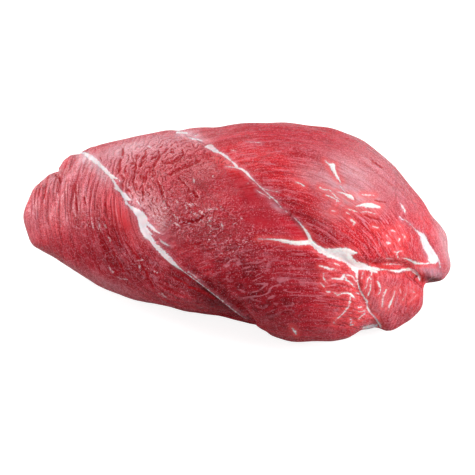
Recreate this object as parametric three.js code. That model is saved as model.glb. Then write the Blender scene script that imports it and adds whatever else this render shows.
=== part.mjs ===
// A raw boneless beef joint: a big round muscle, a slab beside it, a long tail and two short end muscles, trimmed and
// held together by their own skins. It is one solid. Millimetres, +Z up, the long way along X with the thin end at -X.
// It lies on z = 0, where its own weight has pressed it flat.
import * as THREE from "three";
import { mergeVertices } from "three/addons/utils/BufferGeometryUtils.js";

// How finely the surface is cut: an icosahedron with 20 (DETAIL + 1)^2 faces.
const DETAIL = 22;

// The muscles: centre and half sizes in millimetres, then a turn about Z and a tilt about the turned Y in degrees,
// and how widely each runs into the ones before it.
const MUSCLES = {
  round: { centre: [46, 13, 58], half: [92, 92, 70], turn: -28, tilt: 0, blend: 0 },
  slab: { centre: [5, 1, 54], half: [98, 80, 60], turn: -24, tilt: 2, blend: 14 },
  shoulder: { centre: [-40, 34, 54], half: [78, 48, 51], turn: -12, tilt: -3, blend: 34 },
  tail: { centre: [-90, 5, 43], half: [74, 62, 44], turn: -10, tilt: 6, blend: 20 },
  tip: { centre: [-138, -5, 45], half: [28, 35, 28], turn: 0, tilt: 0, blend: 14 },
  corner: { centre: [110, 1, 29], half: [38, 32, 35], turn: 10, tilt: 0, blend: 5 },
  end: { centre: [100, 34, 49], half: [61, 38, 34], turn: 4, tilt: 26, blend: 12 },
};

// Local swellings and hollows of the lean: where, how wide and how far out, in millimetres.
const SWELLS = [
  { at: [10, 70, 110], width: 34, height: 3 },
  { at: [-126, 33, 80], width: 26, height: 6.5 },
  { at: [-158, 8, 72], width: 18, height: -5 },
  { at: [-57, -50, 14], width: 34, height: 7 },
  { at: [14, -64, 10], width: 26, height: -8 },
  { at: [92, -48, 12], width: 30, height: 5.5 },
  { at: [144, 8, 22], width: 16, height: -9 },
  { at: [142, 28, 14], width: 18, height: -7 },
  { at: [154, 48, 44], width: 16, height: -4.5 },
  { at: [132, 54, 70], width: 20, height: 4 },
  { at: [100, 60, 102], width: 32, height: -3.5 },
];

// How softly the lean rounds over into the flat underside, and how near to the ground it counts as lying on it.
const BASE_BLEND = 10;
const GROUND_GAP = 0.5;

// The surface is first cast towards the heart of the joint from all round, from outside, in directions stretched to
// its proportions.
const HEART = new THREE.Vector3(0, 4, 50);
const PROPORTIONS = new THREE.Vector3(165, 100, 62);
const OUTSIDE = 260;
const CAST_STEPS = 160;
const CAST_STRIDE = 0.7;
const CAST_GAP = 0.01;

// Slow waves over the whole surface: a direction in radians a millimetre, a start and a height in millimetres.
const WAVES = [
  { along: [0.11, 0.05, 0.09], start: 0.4, height: 0.45 },
  { along: [-0.07, 0.13, 0.06], start: 2.1, height: 0.4 },
  { along: [0.19, -0.06, -0.12], start: 4.0, height: 0.3 },
  { along: [0.05, 0.2, -0.17], start: 5.2, height: 0.25 },
];

// Stops on a crease are read off a side view of the joint, in millimetres across and up from its middle.
const VIEWS = {
  front: { azimuth: 18, elevation: 35 },
  back: { azimuth: 198, elevation: 35 },
};
const MIDDLE = new THREE.Vector3(0, 0, 55);
const VIEW_DISTANCE = 1500;

// Creases. A groove is pressed in along each, and the surface on its right-hand side sinks by the drop.
// Each stop is a view, across, up, the groove's depth and the drop. Width and reach say how far each of them spreads.
const CREASES = {
  tailSeam: {
    width: 5,
    reach: 34,
    stops: [
      ["back", 90, -72, 0, 0], ["back", 96, -54, 1.5, 0], ["back", 103, -36, 2, 0],
      ["front", -113, 60, 1, 0], ["front", -96, 46, 2, 0], ["front", -84, 28, 2, 0], ["front", -73, 10, 2, 1],
      ["front", -62, -6, 3, 2], ["front", -44, -22, 4, 4], ["front", -19, -41, 5, 6], ["front", 2, -59, 6, 8],
      ["front", 8, -68, 6, 8],
    ],
  },
  roundSeam: {
    width: 5,
    reach: 30,
    stops: [
      ["back", 38, -74, 0, 0], ["back", 44, -52, 2, 0], ["back", 48, -30, 2, 0], ["back", 48, -8, 1.5, 0],
      ["front", -42, 75, 1.5, 1], ["front", -25, 64, 2, 1.5], ["front", -11, 55, 2, 1.5], ["front", 2, 46, 2, 1.5],
      ["front", 13, 34, 2, 1], ["front", 25, 24, 2, 1], ["front", 37, 13, 2.5, 1], ["front", 49, 0, 3, 1],
      ["front", 57, -10, 4, 1], ["front", 76, -19, 5, 1], ["front", 91, -27, 6, 1], ["front", 113, -26, 8, 1],
      ["front", 131, -29, 9, 1], ["front", 141, -36, 10, 1],
    ],
  },
  cornerSeam: {
    width: 5,
    reach: 20,
    stops: [["front", 92, -32, 1, 0], ["front", 89, -42, 2.5, 0], ["front", 95, -52, 3, 0], ["front", 101, -63, 3, 0]],
  },
  endSeam: {
    width: 5,
    reach: 20,
    stops: [["front", 118, 14, 1, 0], ["front", 130, 4, 2, 0], ["front", 139, -5, 2.5, 0], ["front", 144, -16, 2.5, 0]],
  },
  flap: {
    width: 4,
    reach: 16,
    stops: [
      ["back", 123, -36, 0, 1], ["back", 127, -22, 2, 4], ["front", -131, 35, 3, 4], ["front", -137, 22, 2, 1],
      ["front", -143, 8, 1, 0],
    ],
  },
};
// Over how many millimetres the drop happens, and how finely a crease is followed.
const LIP = 8;
const CREASE_STEPS = 120;

// How often the triangles are evened out, when and from how near their corners settle on the creases, and how far
// apart they settle.
const EVENING_ROUNDS = 40;
const SETTLING_ROUND = 24;
const SETTLING_DISTANCE = 2.6;
const SETTLED_APART = 3;

// The distance from an ellipsoid's surface, close enough near the surface and negative inside.
function ellipsoid(point, half) {
  const scaled = new THREE.Vector3().copy(point).divide(half);
  const slope = new THREE.Vector3().copy(scaled).divide(half);
  const level = scaled.length();
  return level < 1e-6 ? -Math.min(half.x, half.y, half.z) : (level * (level - 1)) / slope.length();
}

function smoothMin(a, b, width) {
  const share = Math.max(width - Math.abs(a - b), 0) / width;
  return Math.min(a, b) - (share * share * width) / 4;
}

const muscles = Object.values(MUSCLES).map(({ centre, half, turn, tilt, blend }) => {
  const toLocal = new THREE.Matrix4()
    .makeRotationFromEuler(
      new THREE.Euler(0, THREE.MathUtils.degToRad(tilt), THREE.MathUtils.degToRad(turn), "ZYX"),
    )
    .setPosition(...centre)
    .invert();
  return { toLocal, half: new THREE.Vector3(...half), blend };
});

const swells = SWELLS.map(({ at, width, height }) => ({ at: new THREE.Vector3(...at), width, height }));

const waves = WAVES.map(({ along, start, height }) => ({ along: new THREE.Vector3(...along), start, height }));

// About how far a point is from the surface, negative inside.
function field(point) {
  let distance = Infinity;
  for (const { toLocal, half, blend } of muscles) {
    const d = ellipsoid(point.clone().applyMatrix4(toLocal), half);
    distance = distance === Infinity ? d : smoothMin(distance, d, blend);
  }
  for (const { at, width, height } of swells) {
    distance -= height * Math.exp(-point.distanceToSquared(at) / (width * width));
  }
  for (const { along, start, height } of waves) distance -= height * Math.sin(along.dot(point) + start);
  return -smoothMin(-distance, point.z, BASE_BLEND);
}

function outwardAt(point) {
  const step = 0.05;
  const middle = field(point);
  return new THREE.Vector3(
    field(new THREE.Vector3(point.x + step, point.y, point.z)) - middle,
    field(new THREE.Vector3(point.x, point.y + step, point.z)) - middle,
    field(new THREE.Vector3(point.x, point.y, point.z + step)) - middle,
  ).normalize();
}

function onSurface(point) {
  const outward = outwardAt(point);
  for (let step = 0; step < 3; step += 1) point.addScaledVector(outward, -field(point));
  return point;
}

// The first surface point along a ray.
function castRay(origin, direction, start) {
  const point = new THREE.Vector3();
  let travelled = start;
  for (let step = 0; step < CAST_STEPS; step += 1) {
    point.copy(origin).addScaledVector(direction, travelled);
    const gap = field(point);
    if (gap < CAST_GAP) break;
    travelled += gap * CAST_STRIDE;
  }
  return point;
}

function castFromView(view, across, up) {
  const azimuth = THREE.MathUtils.degToRad(view.azimuth);
  const elevation = THREE.MathUtils.degToRad(view.elevation);
  const right = new THREE.Vector3(Math.cos(azimuth), Math.sin(azimuth), 0);
  const forward = new THREE.Vector3(
    -Math.sin(azimuth) * Math.cos(elevation), Math.cos(azimuth) * Math.cos(elevation), -Math.sin(elevation),
  );
  const upward = new THREE.Vector3().crossVectors(right, forward);
  const eye = MIDDLE.clone().addScaledVector(forward, -VIEW_DISTANCE);
  const target = MIDDLE.clone().addScaledVector(right, across).addScaledVector(upward, up);
  return castRay(eye, target.sub(eye).normalize(), VIEW_DISTANCE - OUTSIDE);
}

const creases = Object.values(CREASES).map(({ width, reach, stops }) => {
  const points = stops.map(([view, across, up]) => castFromView(VIEWS[view], across, up));
  const curve = new THREE.CatmullRomCurve3(points, false, "centripetal");
  const line = Array.from({ length: CREASE_STEPS + 1 }, (_, i) => onSurface(curve.getPoint(i / CREASE_STEPS)));
  const samples = line.map((at, i) => {
    const share = i / CREASE_STEPS;
    const before = line[Math.max(i - 1, 0)];
    const after = line[Math.min(i + 1, CREASE_STEPS)];
    return {
      at,
      along: new THREE.Vector3().subVectors(after, before).normalize(),
      depth: valueAt(stops, 3, share),
      drop: valueAt(stops, 4, share),
    };
  });
  return { width, reach, samples };
});

// A column of the stops' numbers at a share of the way along.
function valueAt(stops, column, share) {
  const place = share * (stops.length - 1);
  const low = Math.min(Math.floor(place), stops.length - 2);
  return THREE.MathUtils.lerp(stops[low][column], stops[low + 1][column], place - low);
}

// The nearest place on a crease, with the line's direction, depth and drop there.
function nearestOn({ samples }, point) {
  let nearest = samples[0];
  let away = Infinity;
  for (const sample of samples) {
    const distance = sample.at.distanceToSquared(point);
    if (distance < away) {
      away = distance;
      nearest = sample;
    }
  }
  const inner = nearest !== samples[0] && nearest !== samples[samples.length - 1];
  const onward = inner ? new THREE.Vector3().subVectors(point, nearest.at).dot(nearest.along) : 0;
  return { ...nearest, at: nearest.at.clone().addScaledVector(nearest.along, onward) };
}

// How far the creases press a surface point in, along its normal.
function pressedIn(point, normal) {
  let total = 0;
  for (const crease of creases) {
    const nearest = nearestOn(crease, point);
    const away = nearest.at.distanceTo(point);
    const aside = new THREE.Vector3().crossVectors(normal, nearest.along).normalize();
    const leftOf = aside.dot(new THREE.Vector3().subVectors(point, nearest.at));
    const sunk = THREE.MathUtils.smoothstep(-leftOf, -LIP / 2, LIP / 2);
    total += nearest.depth * Math.exp(-((away / crease.width) ** 2));
    total += nearest.drop * sunk * Math.exp(-((away / crease.reach) ** 2));
  }
  return total;
}

// A ball of even triangles is cast onto the muscles from outside.
const ball = new THREE.IcosahedronGeometry(1, DETAIL);
ball.deleteAttribute("normal");
ball.deleteAttribute("uv");
const body = mergeVertices(ball, 1e-5);
const spots = body.getAttribute("position");
const corners = body.getIndex().array;
const points = Array.from({ length: spots.count }, (_, i) => {
  const direction = new THREE.Vector3().fromBufferAttribute(spots, i).multiply(PROPORTIONS).normalize();
  return castRay(HEART.clone().addScaledVector(direction, OUTSIDE), direction.negate(), 0);
});

// The triangles are evened out, and the corners that are close to a crease settle on it.
const neighbours = points.map(() => new Set());
for (let i = 0; i < corners.length; i += 3) {
  const [a, b, c] = corners.slice(i, i + 3);
  neighbours[a].add(b).add(c);
  neighbours[b].add(c).add(a);
  neighbours[c].add(a).add(b);
}
const settled = points.map(() => null);
function settleOnCreases() {
  const candidates = creases.flatMap((crease) => points.map((point, corner) => {
    const { at } = nearestOn(crease, point);
    return { crease, corner, at, away: at.distanceTo(point) };
  }));
  candidates.sort((one, other) => one.away - other.away);
  const taken = [];
  for (const { crease, corner, at, away } of candidates) {
    if (away > SETTLING_DISTANCE) break;
    if (taken.some((place) => place.distanceTo(at) < SETTLED_APART)) continue;
    settled[corner] = crease;
    taken.push(at);
  }
}
for (let round = 0; round < EVENING_ROUNDS; round += 1) {
  const moved = points.map((point, i) => {
    const middle = new THREE.Vector3();
    for (const other of neighbours[i]) middle.add(points[other]);
    middle.divideScalar(neighbours[i].size);
    const next = onSurface(new THREE.Vector3().copy(point).lerp(middle, 0.6));
    return settled[i] ? nearestOn(settled[i], next).at : next;
  });
  moved.forEach((point, i) => points[i].copy(point));
  if (round === SETTLING_ROUND) settleOnCreases();
}

// The creases are pressed in, and the underside is left flat.
for (let i = 0; i < points.length; i += 1) {
  const normal = outwardAt(points[i]);
  points[i].addScaledVector(normal, -pressedIn(points[i], normal));
  spots.setXYZ(i, points[i].x, points[i].y, points[i].z < GROUND_GAP ? 0 : points[i].z);
}

// The middle of the underside goes to the origin.
body.computeBoundingBox();
const centre = body.boundingBox.getCenter(new THREE.Vector3());
body.translate(-centre.x, -centre.y, 0);
body.computeVertexNormals();

const joint = new THREE.Mesh(
  body,
  new THREE.MeshStandardMaterial({ color: 0xb23a44, roughness: 0.45, metalness: 0 }),
);
joint.name = "beef_joint";

const model = new THREE.Group();
model.add(joint);
export default model;
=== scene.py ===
# %% [markdown]
# # A raw boneless beef joint
# This lesson dresses a plain solid of a butcher's joint as wet raw beef. The solid already has the joint's
# outline, its muscles and the creases between them. What it lacks is everything finer: the fibres, the
# cracked surface film, the seams of fat and the bluish silverskin. We load the solid first.

# %% Load the solid
import itertools
import math

import bpy
import numpy as np
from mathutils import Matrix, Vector
from mathutils.bvhtree import BVHTree


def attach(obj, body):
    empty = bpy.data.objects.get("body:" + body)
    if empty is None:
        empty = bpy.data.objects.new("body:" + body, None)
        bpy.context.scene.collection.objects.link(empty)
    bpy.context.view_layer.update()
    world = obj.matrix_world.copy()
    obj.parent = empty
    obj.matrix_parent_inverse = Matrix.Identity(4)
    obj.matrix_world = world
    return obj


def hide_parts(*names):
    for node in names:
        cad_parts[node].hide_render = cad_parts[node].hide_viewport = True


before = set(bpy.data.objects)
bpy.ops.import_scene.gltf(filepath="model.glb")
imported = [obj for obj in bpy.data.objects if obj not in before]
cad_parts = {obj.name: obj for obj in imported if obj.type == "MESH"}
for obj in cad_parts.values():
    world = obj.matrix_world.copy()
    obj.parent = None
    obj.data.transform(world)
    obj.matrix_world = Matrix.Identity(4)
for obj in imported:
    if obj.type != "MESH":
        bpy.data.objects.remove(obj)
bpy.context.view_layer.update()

# %% [markdown]
# ## The camera
# The photograph looks down on the joint at 35 degrees from a little to the right of its long side, through
# a long lens, which keeps the outline almost free of perspective. Setting the camera up first also gives us
# a ruler: with it any point of the meat can be named by its place in the 475 pixel picture, and the fat can
# be laid out by such places.

# %% Set up the camera
MM = 0.001
PICTURE = 475
AZIMUTH = math.radians(18)
ELEVATION = math.radians(35)
CAMERA_DISTANCE = 1500
MM_PER_PIXEL = 0.74
AIM = np.array([6.45, -11.36, 55.0])
AIM_PIXEL = np.array([237.5, 232.0])
SENSOR = 36


def view_axes(azimuth, elevation):
    """The right, up and forward directions of someone who looks at the joint from there."""
    forward = np.array([
        -math.sin(azimuth) * math.cos(elevation),
        math.cos(azimuth) * math.cos(elevation),
        -math.sin(elevation),
    ])
    right = np.array([math.cos(azimuth), math.sin(azimuth), 0.0])
    return right, np.cross(right, forward), forward


class Viewpoint:
    """A place to look at the joint from, which turns points in millimetres into places in the picture."""

    def __init__(self, azimuth, elevation):
        self.right, self.up, self.forward = view_axes(azimuth, elevation)
        drop = (PICTURE / 2 - AIM_PIXEL[1]) * MM_PER_PIXEL
        self.place = AIM - self.forward * CAMERA_DISTANCE - self.up * drop
        self.scale = CAMERA_DISTANCE / MM_PER_PIXEL

    def pixels(self, points):
        """Where points show in the picture."""
        offset = points - self.place
        depth = offset @ self.forward
        across = PICTURE / 2 + self.scale * (offset @ self.right) / depth
        down = PICTURE / 2 - self.scale * (offset @ self.up) / depth
        return np.stack([across, down], axis=1)

    def ray(self, pixel):
        """The direction in which a place in the picture lies."""
        across = (pixel[0] - PICTURE / 2) / self.scale
        down = (pixel[1] - PICTURE / 2) / self.scale
        direction = self.forward + across * self.right - down * self.up
        return direction / np.linalg.norm(direction)


front = Viewpoint(AZIMUTH, ELEVATION)
back = Viewpoint(AZIMUTH + math.pi, ELEVATION)

camera_data = bpy.data.cameras.new("camera")
camera_data.sensor_width = SENSOR
camera_data.lens = SENSOR * CAMERA_DISTANCE / (PICTURE * MM_PER_PIXEL)
camera_data.clip_start = 0.05
camera = bpy.data.objects.new("camera", camera_data)
bpy.context.scene.collection.objects.link(camera)
camera.location = Vector(front.place * MM)
camera.rotation_euler = Vector(front.forward).to_track_quat("-Z", "Y").to_euler()
bpy.context.scene.camera = camera
print("camera lens in mm", round(camera_data.lens, 1))

# %% [markdown]
# ## The solid as arrays
# All the modelling below is done on two plain arrays: where the corners are, and which three make each
# triangle. Numpy works on all of them at once, so it is quick, and the solid itself is left untouched.

# %% Read the solid
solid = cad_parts["beef_joint"]
solid_points = np.empty(len(solid.data.vertices) * 3)
solid.data.vertices.foreach_get("co", solid_points)
solid_points = solid_points.reshape(-1, 3) / MM
solid.data.calc_loop_triangles()
solid_triangles = np.empty(len(solid.data.loop_triangles) * 3, dtype=np.int64)
solid.data.loop_triangles.foreach_get("vertices", solid_triangles)
solid_triangles = solid_triangles.reshape(-1, 3)
rounded, first, same = np.unique(
    np.round(solid_points, 2), axis=0, return_index=True, return_inverse=True
)
points = solid_points[first]
triangles = same.reshape(-1)[solid_triangles]
print("the solid has", len(points), "corners and", len(triangles), "triangles")

# %% [markdown]
# ## Small corrections of the outline
# Held against the photograph, the solid's outline is out by a few pixels here and there. A few soft pushes
# put that right: each names a place in the picture, how far to push it across and down, and how far the
# push reaches.

# %% Push the outline into place
# Each push: across and down in the picture, how far to push across and down, and its reach, all in pixels.
NUDGES = [
    (190, 125, 0.5, 4.0, 17), (215, 126, 0, 2.2, 12), (247, 121, 0, -3.6, 17), (158, 131, 0, 2.2, 20),
    (105, 143, 0, 1.4, 18), (86, 149, 0.5, 2.2, 8), (70, 155, -1.0, -2.4, 7), (57, 166, 2.6, 4.2, 8),
    (33, 188, -1.6, -1.0, 7), (27, 203, 1.0, 0, 7), (26, 228, 1.4, 0, 9), (33, 245, -1.2, 1.4, 8),
    (50, 258, 0.6, -3.0, 14), (80, 273, 0.6, -3.4, 18), (112, 292, 0.4, -3.0, 18), (150, 303, 0, -2.0, 18),
    (185, 310, 0, -1.8, 14), (222, 315, 0, -1.0, 10), (262, 331, 0.8, -1.8, 9), (290, 341, 0, 2.4, 12),
    (318, 344, 0, -2.6, 13), (349, 333, 0, 1.6, 7), (376, 331, 0, -5.6, 8), (403, 325, -1.6, -2.6, 11),
    (417, 305, 4.4, 1.0, 11), (443, 238, 3.6, -0.6, 13), (450, 262, 0.8, 0.4, 8), (440, 284, 0.6, 1.8, 6),
    (418, 193, -2.2, 1.4, 18), (434, 214, -3.2, 1.0, 12), (320, 124, 0, 1.6, 22), (381, 154, 0.6, -0.8, 10),
]
UNDERSIDE = 0.5
pushed = front.pixels(points)
for across, down, push_across, push_down, reach in NUDGES:
    away = np.linalg.norm(pushed - np.array([across, down]), axis=1)
    share = np.exp(-(away / reach) ** 2)[:, None] * (points[:, 2:] > UNDERSIDE)
    points = points + share * MM_PER_PIXEL * (push_across * front.right - push_down * front.up)
points[:, 2] = np.maximum(points[:, 2], 0)
print("pushed the outline at", len(NUDGES), "places")

# %% [markdown]
# ## The seams between the muscles
# A joint like this is several muscles that lie side by side, each in a thin skin. The lines where they meet
# carry most of the white that we see, and the fibres change direction there. So each seam is a line of
# places in the picture, cast onto the solid, and carried on over the top from a second viewpoint behind.

# %% Cast the seams onto the solid
SEAMS = {
    "tail": [
        ("back", 359, 329), ("back", 367, 305), ("back", 377, 281), ("front", 85, 151), ("front", 100, 164),
        ("front", 113, 181), ("front", 128, 203), ("front", 141, 223), ("front", 152, 241),
        ("front", 170, 261), ("front", 190, 277), ("front", 212, 294), ("front", 235, 312),
        ("front", 249, 325),
    ],
    "round": [
        ("back", 289, 332), ("back", 297, 302), ("back", 302, 273), ("back", 302, 243), ("front", 178, 131),
        ("front", 204, 144), ("front", 222, 155), ("front", 240, 168), ("front", 256, 184),
        ("front", 272, 199), ("front", 288, 213), ("front", 303, 229), ("front", 311, 241),
        ("front", 326, 252), ("front", 344, 261), ("front", 360, 269), ("front", 380, 270),
        ("front", 400, 271), ("front", 416, 271), ("front", 428, 281),
    ],
    "corner": [
        ("front", 357, 272), ("front", 360, 289), ("front", 366, 301), ("front", 373, 314),
        ("front", 380, 327),
    ],
    "end": [
        ("front", 400, 216), ("front", 414, 229), ("front", 426, 242), ("front", 434, 257),
        ("front", 440, 268),
    ],
}
SEAM_STEP = 1.0
VIEWPOINTS = {"front": front, "back": back}
tree = BVHTree.FromPolygons(points.tolist(), triangles.tolist())


def cast(viewpoint, pixel):
    """The first point of the solid behind a place in the picture."""
    hit = tree.ray_cast(Vector(viewpoint.place), Vector(viewpoint.ray(pixel)))
    return None if hit[0] is None else np.array(hit[0])


def resampled(line, step):
    """A line with evenly spaced points."""
    lengths = np.linalg.norm(np.diff(line, axis=0), axis=1)
    travelled = np.concatenate([[0], np.cumsum(lengths)])
    stops = np.linspace(0, travelled[-1], max(int(travelled[-1] / step), 2))
    return np.stack([np.interp(stops, travelled, line[:, axis]) for axis in range(3)], axis=1)


seam_lines = {}
for name, stops in SEAMS.items():
    landed = [cast(VIEWPOINTS[view], (across, down)) for view, across, down in stops]
    seam_lines[name] = resampled(np.array([point for point in landed if point is not None]), SEAM_STEP)
    print("seam", name, "is", len(seam_lines[name]), "mm long")

# %% [markdown]
# ## Fat, silverskin, painted glints and creases
# The white marks are what the eye checks first, so each one that can be made out is laid down as a brush
# stroke: a few places in the picture with the stroke's width at each. The wet glints, which are painted
# highlights, and the dark creases, which are painted shade over a shallow dip, are strokes too, and folds
# are lines along which one part laps over the next. A painter would do the same on a texture. Here the
# strokes become values on the mesh, so they stay on the meat from any side and need no image.

# %% Lay out the strokes
FAT = {
    "branch and neck": [
        [
            (311, 242, 5), (299, 243.4, 5), (290, 242.6, 4), (281, 240.4, 2.5), (272, 239.4, 1.2),
            (258, 239, 0.6),
        ],
        [(303, 227, 1.5), (306, 231, 3.2), (309.5, 237, 3.6), (311, 242, 5)],
    ],
    "ribbon": [
        [
            (311, 242, 5), (315.6, 246, 5.6), (321, 250, 6.4), (330, 253, 9), (338, 254, 12),
            (345, 256.4, 12.4), (350, 261.4, 9.4), (355, 264.6, 9.4), (360, 266, 8), (365, 267.2, 6.6),
            (370, 268.4, 4.6), (376, 269.4, 3.2), (381, 269.7, 1.6), (386, 270, 1), (391, 270.6, 2),
            (395, 271.3, 2.9), (399, 271.5, 3.2), (402, 270, 2.8), (406, 269.2, 2.8),
        ],
        [(340, 250.6, 6), (348, 251, 6), (353, 252.4, 4), (357.8, 252.8, 0.8)],
        [(355, 269, 7), (356.4, 274, 3.6), (357.2, 279, 1.6), (358, 284, 1), (360, 290, 1.3)],
        [(371, 270.6, 3.4), (376, 271.8, 2.6), (377.4, 273.2, 0.7)],
    ],
    "corner edges": [
        [
            (360, 290, 1.3), (363, 296, 1.4), (366.6, 301.2, 2.2), (367, 305, 1.7), (368, 309, 1.7),
            (371, 313, 1.3), (375, 317.6, 1.7), (378, 322, 1.8), (381, 327, 1.6),
        ],
        [
            (406, 269.2, 2.8), (410, 269.2, 3.4), (414, 271.2, 4), (417, 273.8, 3.8), (419.4, 277.2, 2.6),
            (420.8, 280, 1.2),
        ],
        [
            (402, 258, 0.8), (406, 258.6, 1.2), (409.6, 260, 1.6), (412.6, 261.6, 2), (415.4, 262.6, 3.2),
            (418, 263.2, 2.4), (423, 263.6, 1.5), (428, 263.4, 1.4), (434, 262.4, 1.4),
        ],
    ],
    "round marks": [
        [
            (325, 161, 0.5), (328.8, 164.6, 1.6), (332.4, 166.4, 6), (333.6, 170, 4.2), (335.4, 174, 2.8),
            (338, 178.4, 2.4), (340.6, 182.4, 0.9),
        ],
        [
            (336, 191.6, 0.6), (340, 192.4, 1.1), (344, 193.8, 1.7), (347.4, 195.4, 3.2),
            (350.4, 196.6, 4.4), (352.4, 198.4, 2.8), (353.6, 199.6, 0.5),
        ],
        [
            (355.6, 206.6, 0.8), (359, 205.8, 1.7), (363.4, 204.8, 3.8), (367.6, 205.4, 5.4),
            (372, 205.8, 5), (376, 206.6, 3.4), (379.4, 207.2, 2.2),
        ],
    ],
    "flecks": [
        [(349, 218.6, 0.7), (352, 220.4, 1.7), (354.6, 222.6, 2.2), (353.4, 224.6, 1.4)],
        [(373, 226.6, 1.6), (377.8, 227.9, 1.3)],
        [(391, 230.2, 0.9), (394.8, 231.6, 1.4)],
        [(388, 243, 2.8), (389.6, 243.2, 2.2)],
        [(386.4, 235.4, 1), (387, 237, 1.4)],
        [(398.8, 240.8, 1.5), (399.4, 238.6, 0.9)],
        [(402.4, 234.4, 0.8), (404.6, 237.2, 1.4)],
        [(394.4, 251.8, 0.9), (396.6, 253, 1.4), (400, 251, 1.1), (401.8, 251, 0.6)],
        [(362, 194.6, 0.7), (366, 195, 1.6), (370, 195, 0.9), (374, 195.4, 0.7)],
        [(361, 212.4, 0.7), (366, 211.6, 1.3), (370, 212.4, 0.8), (373, 213.6, 1.2), (377, 214, 0.7)],
        [(345.6, 208, 0.7), (350, 209.8, 1.3), (356, 211.4, 1.1), (358, 212, 0.5)],
        [
            (320, 187.6, 1.2), (324, 189.6, 1.1), (330, 190, 0.6), (333, 193.6, 1.2), (337, 197.6, 1.4),
            (340, 199, 0.6),
        ],
        [
            (326, 195.2, 0.8), (332, 197, 1.2), (336, 199.2, 1.1), (340, 201.6, 0.7), (336.6, 200.6, 0.9),
            (336, 204.6, 0.7),
        ],
        [(396.8, 253.6, 1), (398.2, 257.4, 0.9), (399.8, 258.8, 0.5)],
        [(399, 226, 1.1), (400, 226.8, 1)],
        [(295.4, 181.8, 0.9), (300, 183.4, 1.2), (304.5, 186, 0.7)],
        [(346.6, 212.6, 0.9), (349.6, 214, 0.7)],
        [(332, 210.6, 1), (335.6, 211.4, 0.9)],
        [(386, 258.4, 0.6), (392, 259, 1)],
        [(384, 264.4, 0.5), (392, 264, 0.8), (402, 264.6, 0.4)],
        [(292.4, 328.4, 1.4), (294.6, 331.4, 2.6), (296, 334, 1.4)],
    ],
    "slab veins": [
        [(320, 265.8, 1), (325, 267.4, 2.2), (330, 269, 2), (334, 269.6, 1.6), (337, 269.4, 0.7)],
        [(332, 278.4, 0.9), (338, 279, 1.7), (342, 278.6, 3.2), (343.6, 275.6, 3), (346, 278.8, 2.2)],
        [(346.6, 275, 1.2), (350, 275.4, 1.4), (352.6, 276.6, 1.2), (354.4, 279.2, 0.9), (356, 281.6, 0.7)],
        [(346, 279.4, 1.5), (350, 282.4, 1.2), (352.6, 284.4, 1.5), (354.6, 286.6, 0.7)],
        [(323.6, 273.6, 1.3), (323.4, 277, 0.9), (325, 280.6, 0.9), (328, 283.6, 0.6)],
        [(320.6, 283, 1), (323, 285.6, 1), (324.4, 287, 0.6)],
        [
            (334, 292.6, 0.9), (337.6, 294.8, 1.6), (342, 293.6, 1.1), (347, 293, 1.4), (351, 294.6, 2.6),
            (353.6, 297, 1.6), (355, 298.6, 0.6),
        ],
        [
            (350.4, 297, 1), (350, 303, 1.2), (348.4, 307, 1.2), (345.4, 311, 1.1), (341, 315.6, 1.1),
            (337, 319, 0.9), (334, 321.6, 0.6),
        ],
        [(327, 291.8, 1.3), (330, 292, 1.1)],
        [(334, 262.6, 0.9), (337, 264, 1.2), (339.6, 265.4, 0.6)],
        [(350.6, 318.6, 1), (351.6, 321, 1.2), (350.4, 324.8, 1.9), (353, 324.4, 1.4), (354.8, 322.6, 0.7)],
        [(358.6, 307.6, 0.9), (361.6, 306.6, 1.1)],
        [(359, 311.6, 0.7), (364.4, 311, 1.7), (365, 313.6, 1.2), (361, 316.4, 0.9), (359, 318.6, 0.6)],
        [(356.4, 292.4, 0.7), (358.6, 294, 1.1)],
        [(333.4, 322.4, 1.2), (334.8, 323, 1.1)],
    ],
    "corner veins": [
        [
            (372, 271, 1.7), (371.4, 275, 1.4), (369, 277.6, 1.2), (367, 280.4, 0.9), (366.6, 285, 0.8),
            (365, 288, 0.6),
        ],
        [(370.6, 277.6, 1), (370.8, 284, 1.1), (370, 290, 0.9), (368, 295, 0.7)],
        [(377.4, 281.6, 1.1), (379, 284, 1.5), (380.6, 288, 1.3), (380, 292, 1.2), (378, 294, 0.7)],
        [(386, 290, 1.6), (385, 292, 2.2), (383, 297, 1.5), (382.4, 303, 1.6), (382, 307, 1)],
        [(394.6, 291, 0.9), (393.4, 296, 1.1), (391.4, 301, 1.5), (389.4, 305, 1.9), (388.4, 310, 0.9)],
        [(411, 290.4, 1), (414, 292.2, 0.9)],
        [(406, 293, 0.7), (404.6, 297, 0.9), (402.6, 300, 0.6)],
        [(417, 295, 0.6), (412, 299.6, 0.8), (409, 302, 0.5)],
        [(363.4, 271.6, 1), (362, 275, 0.9), (361.6, 279, 0.7)],
        [(400, 289.6, 0.7), (400.6, 293.4, 0.8)],
    ],
}
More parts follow.
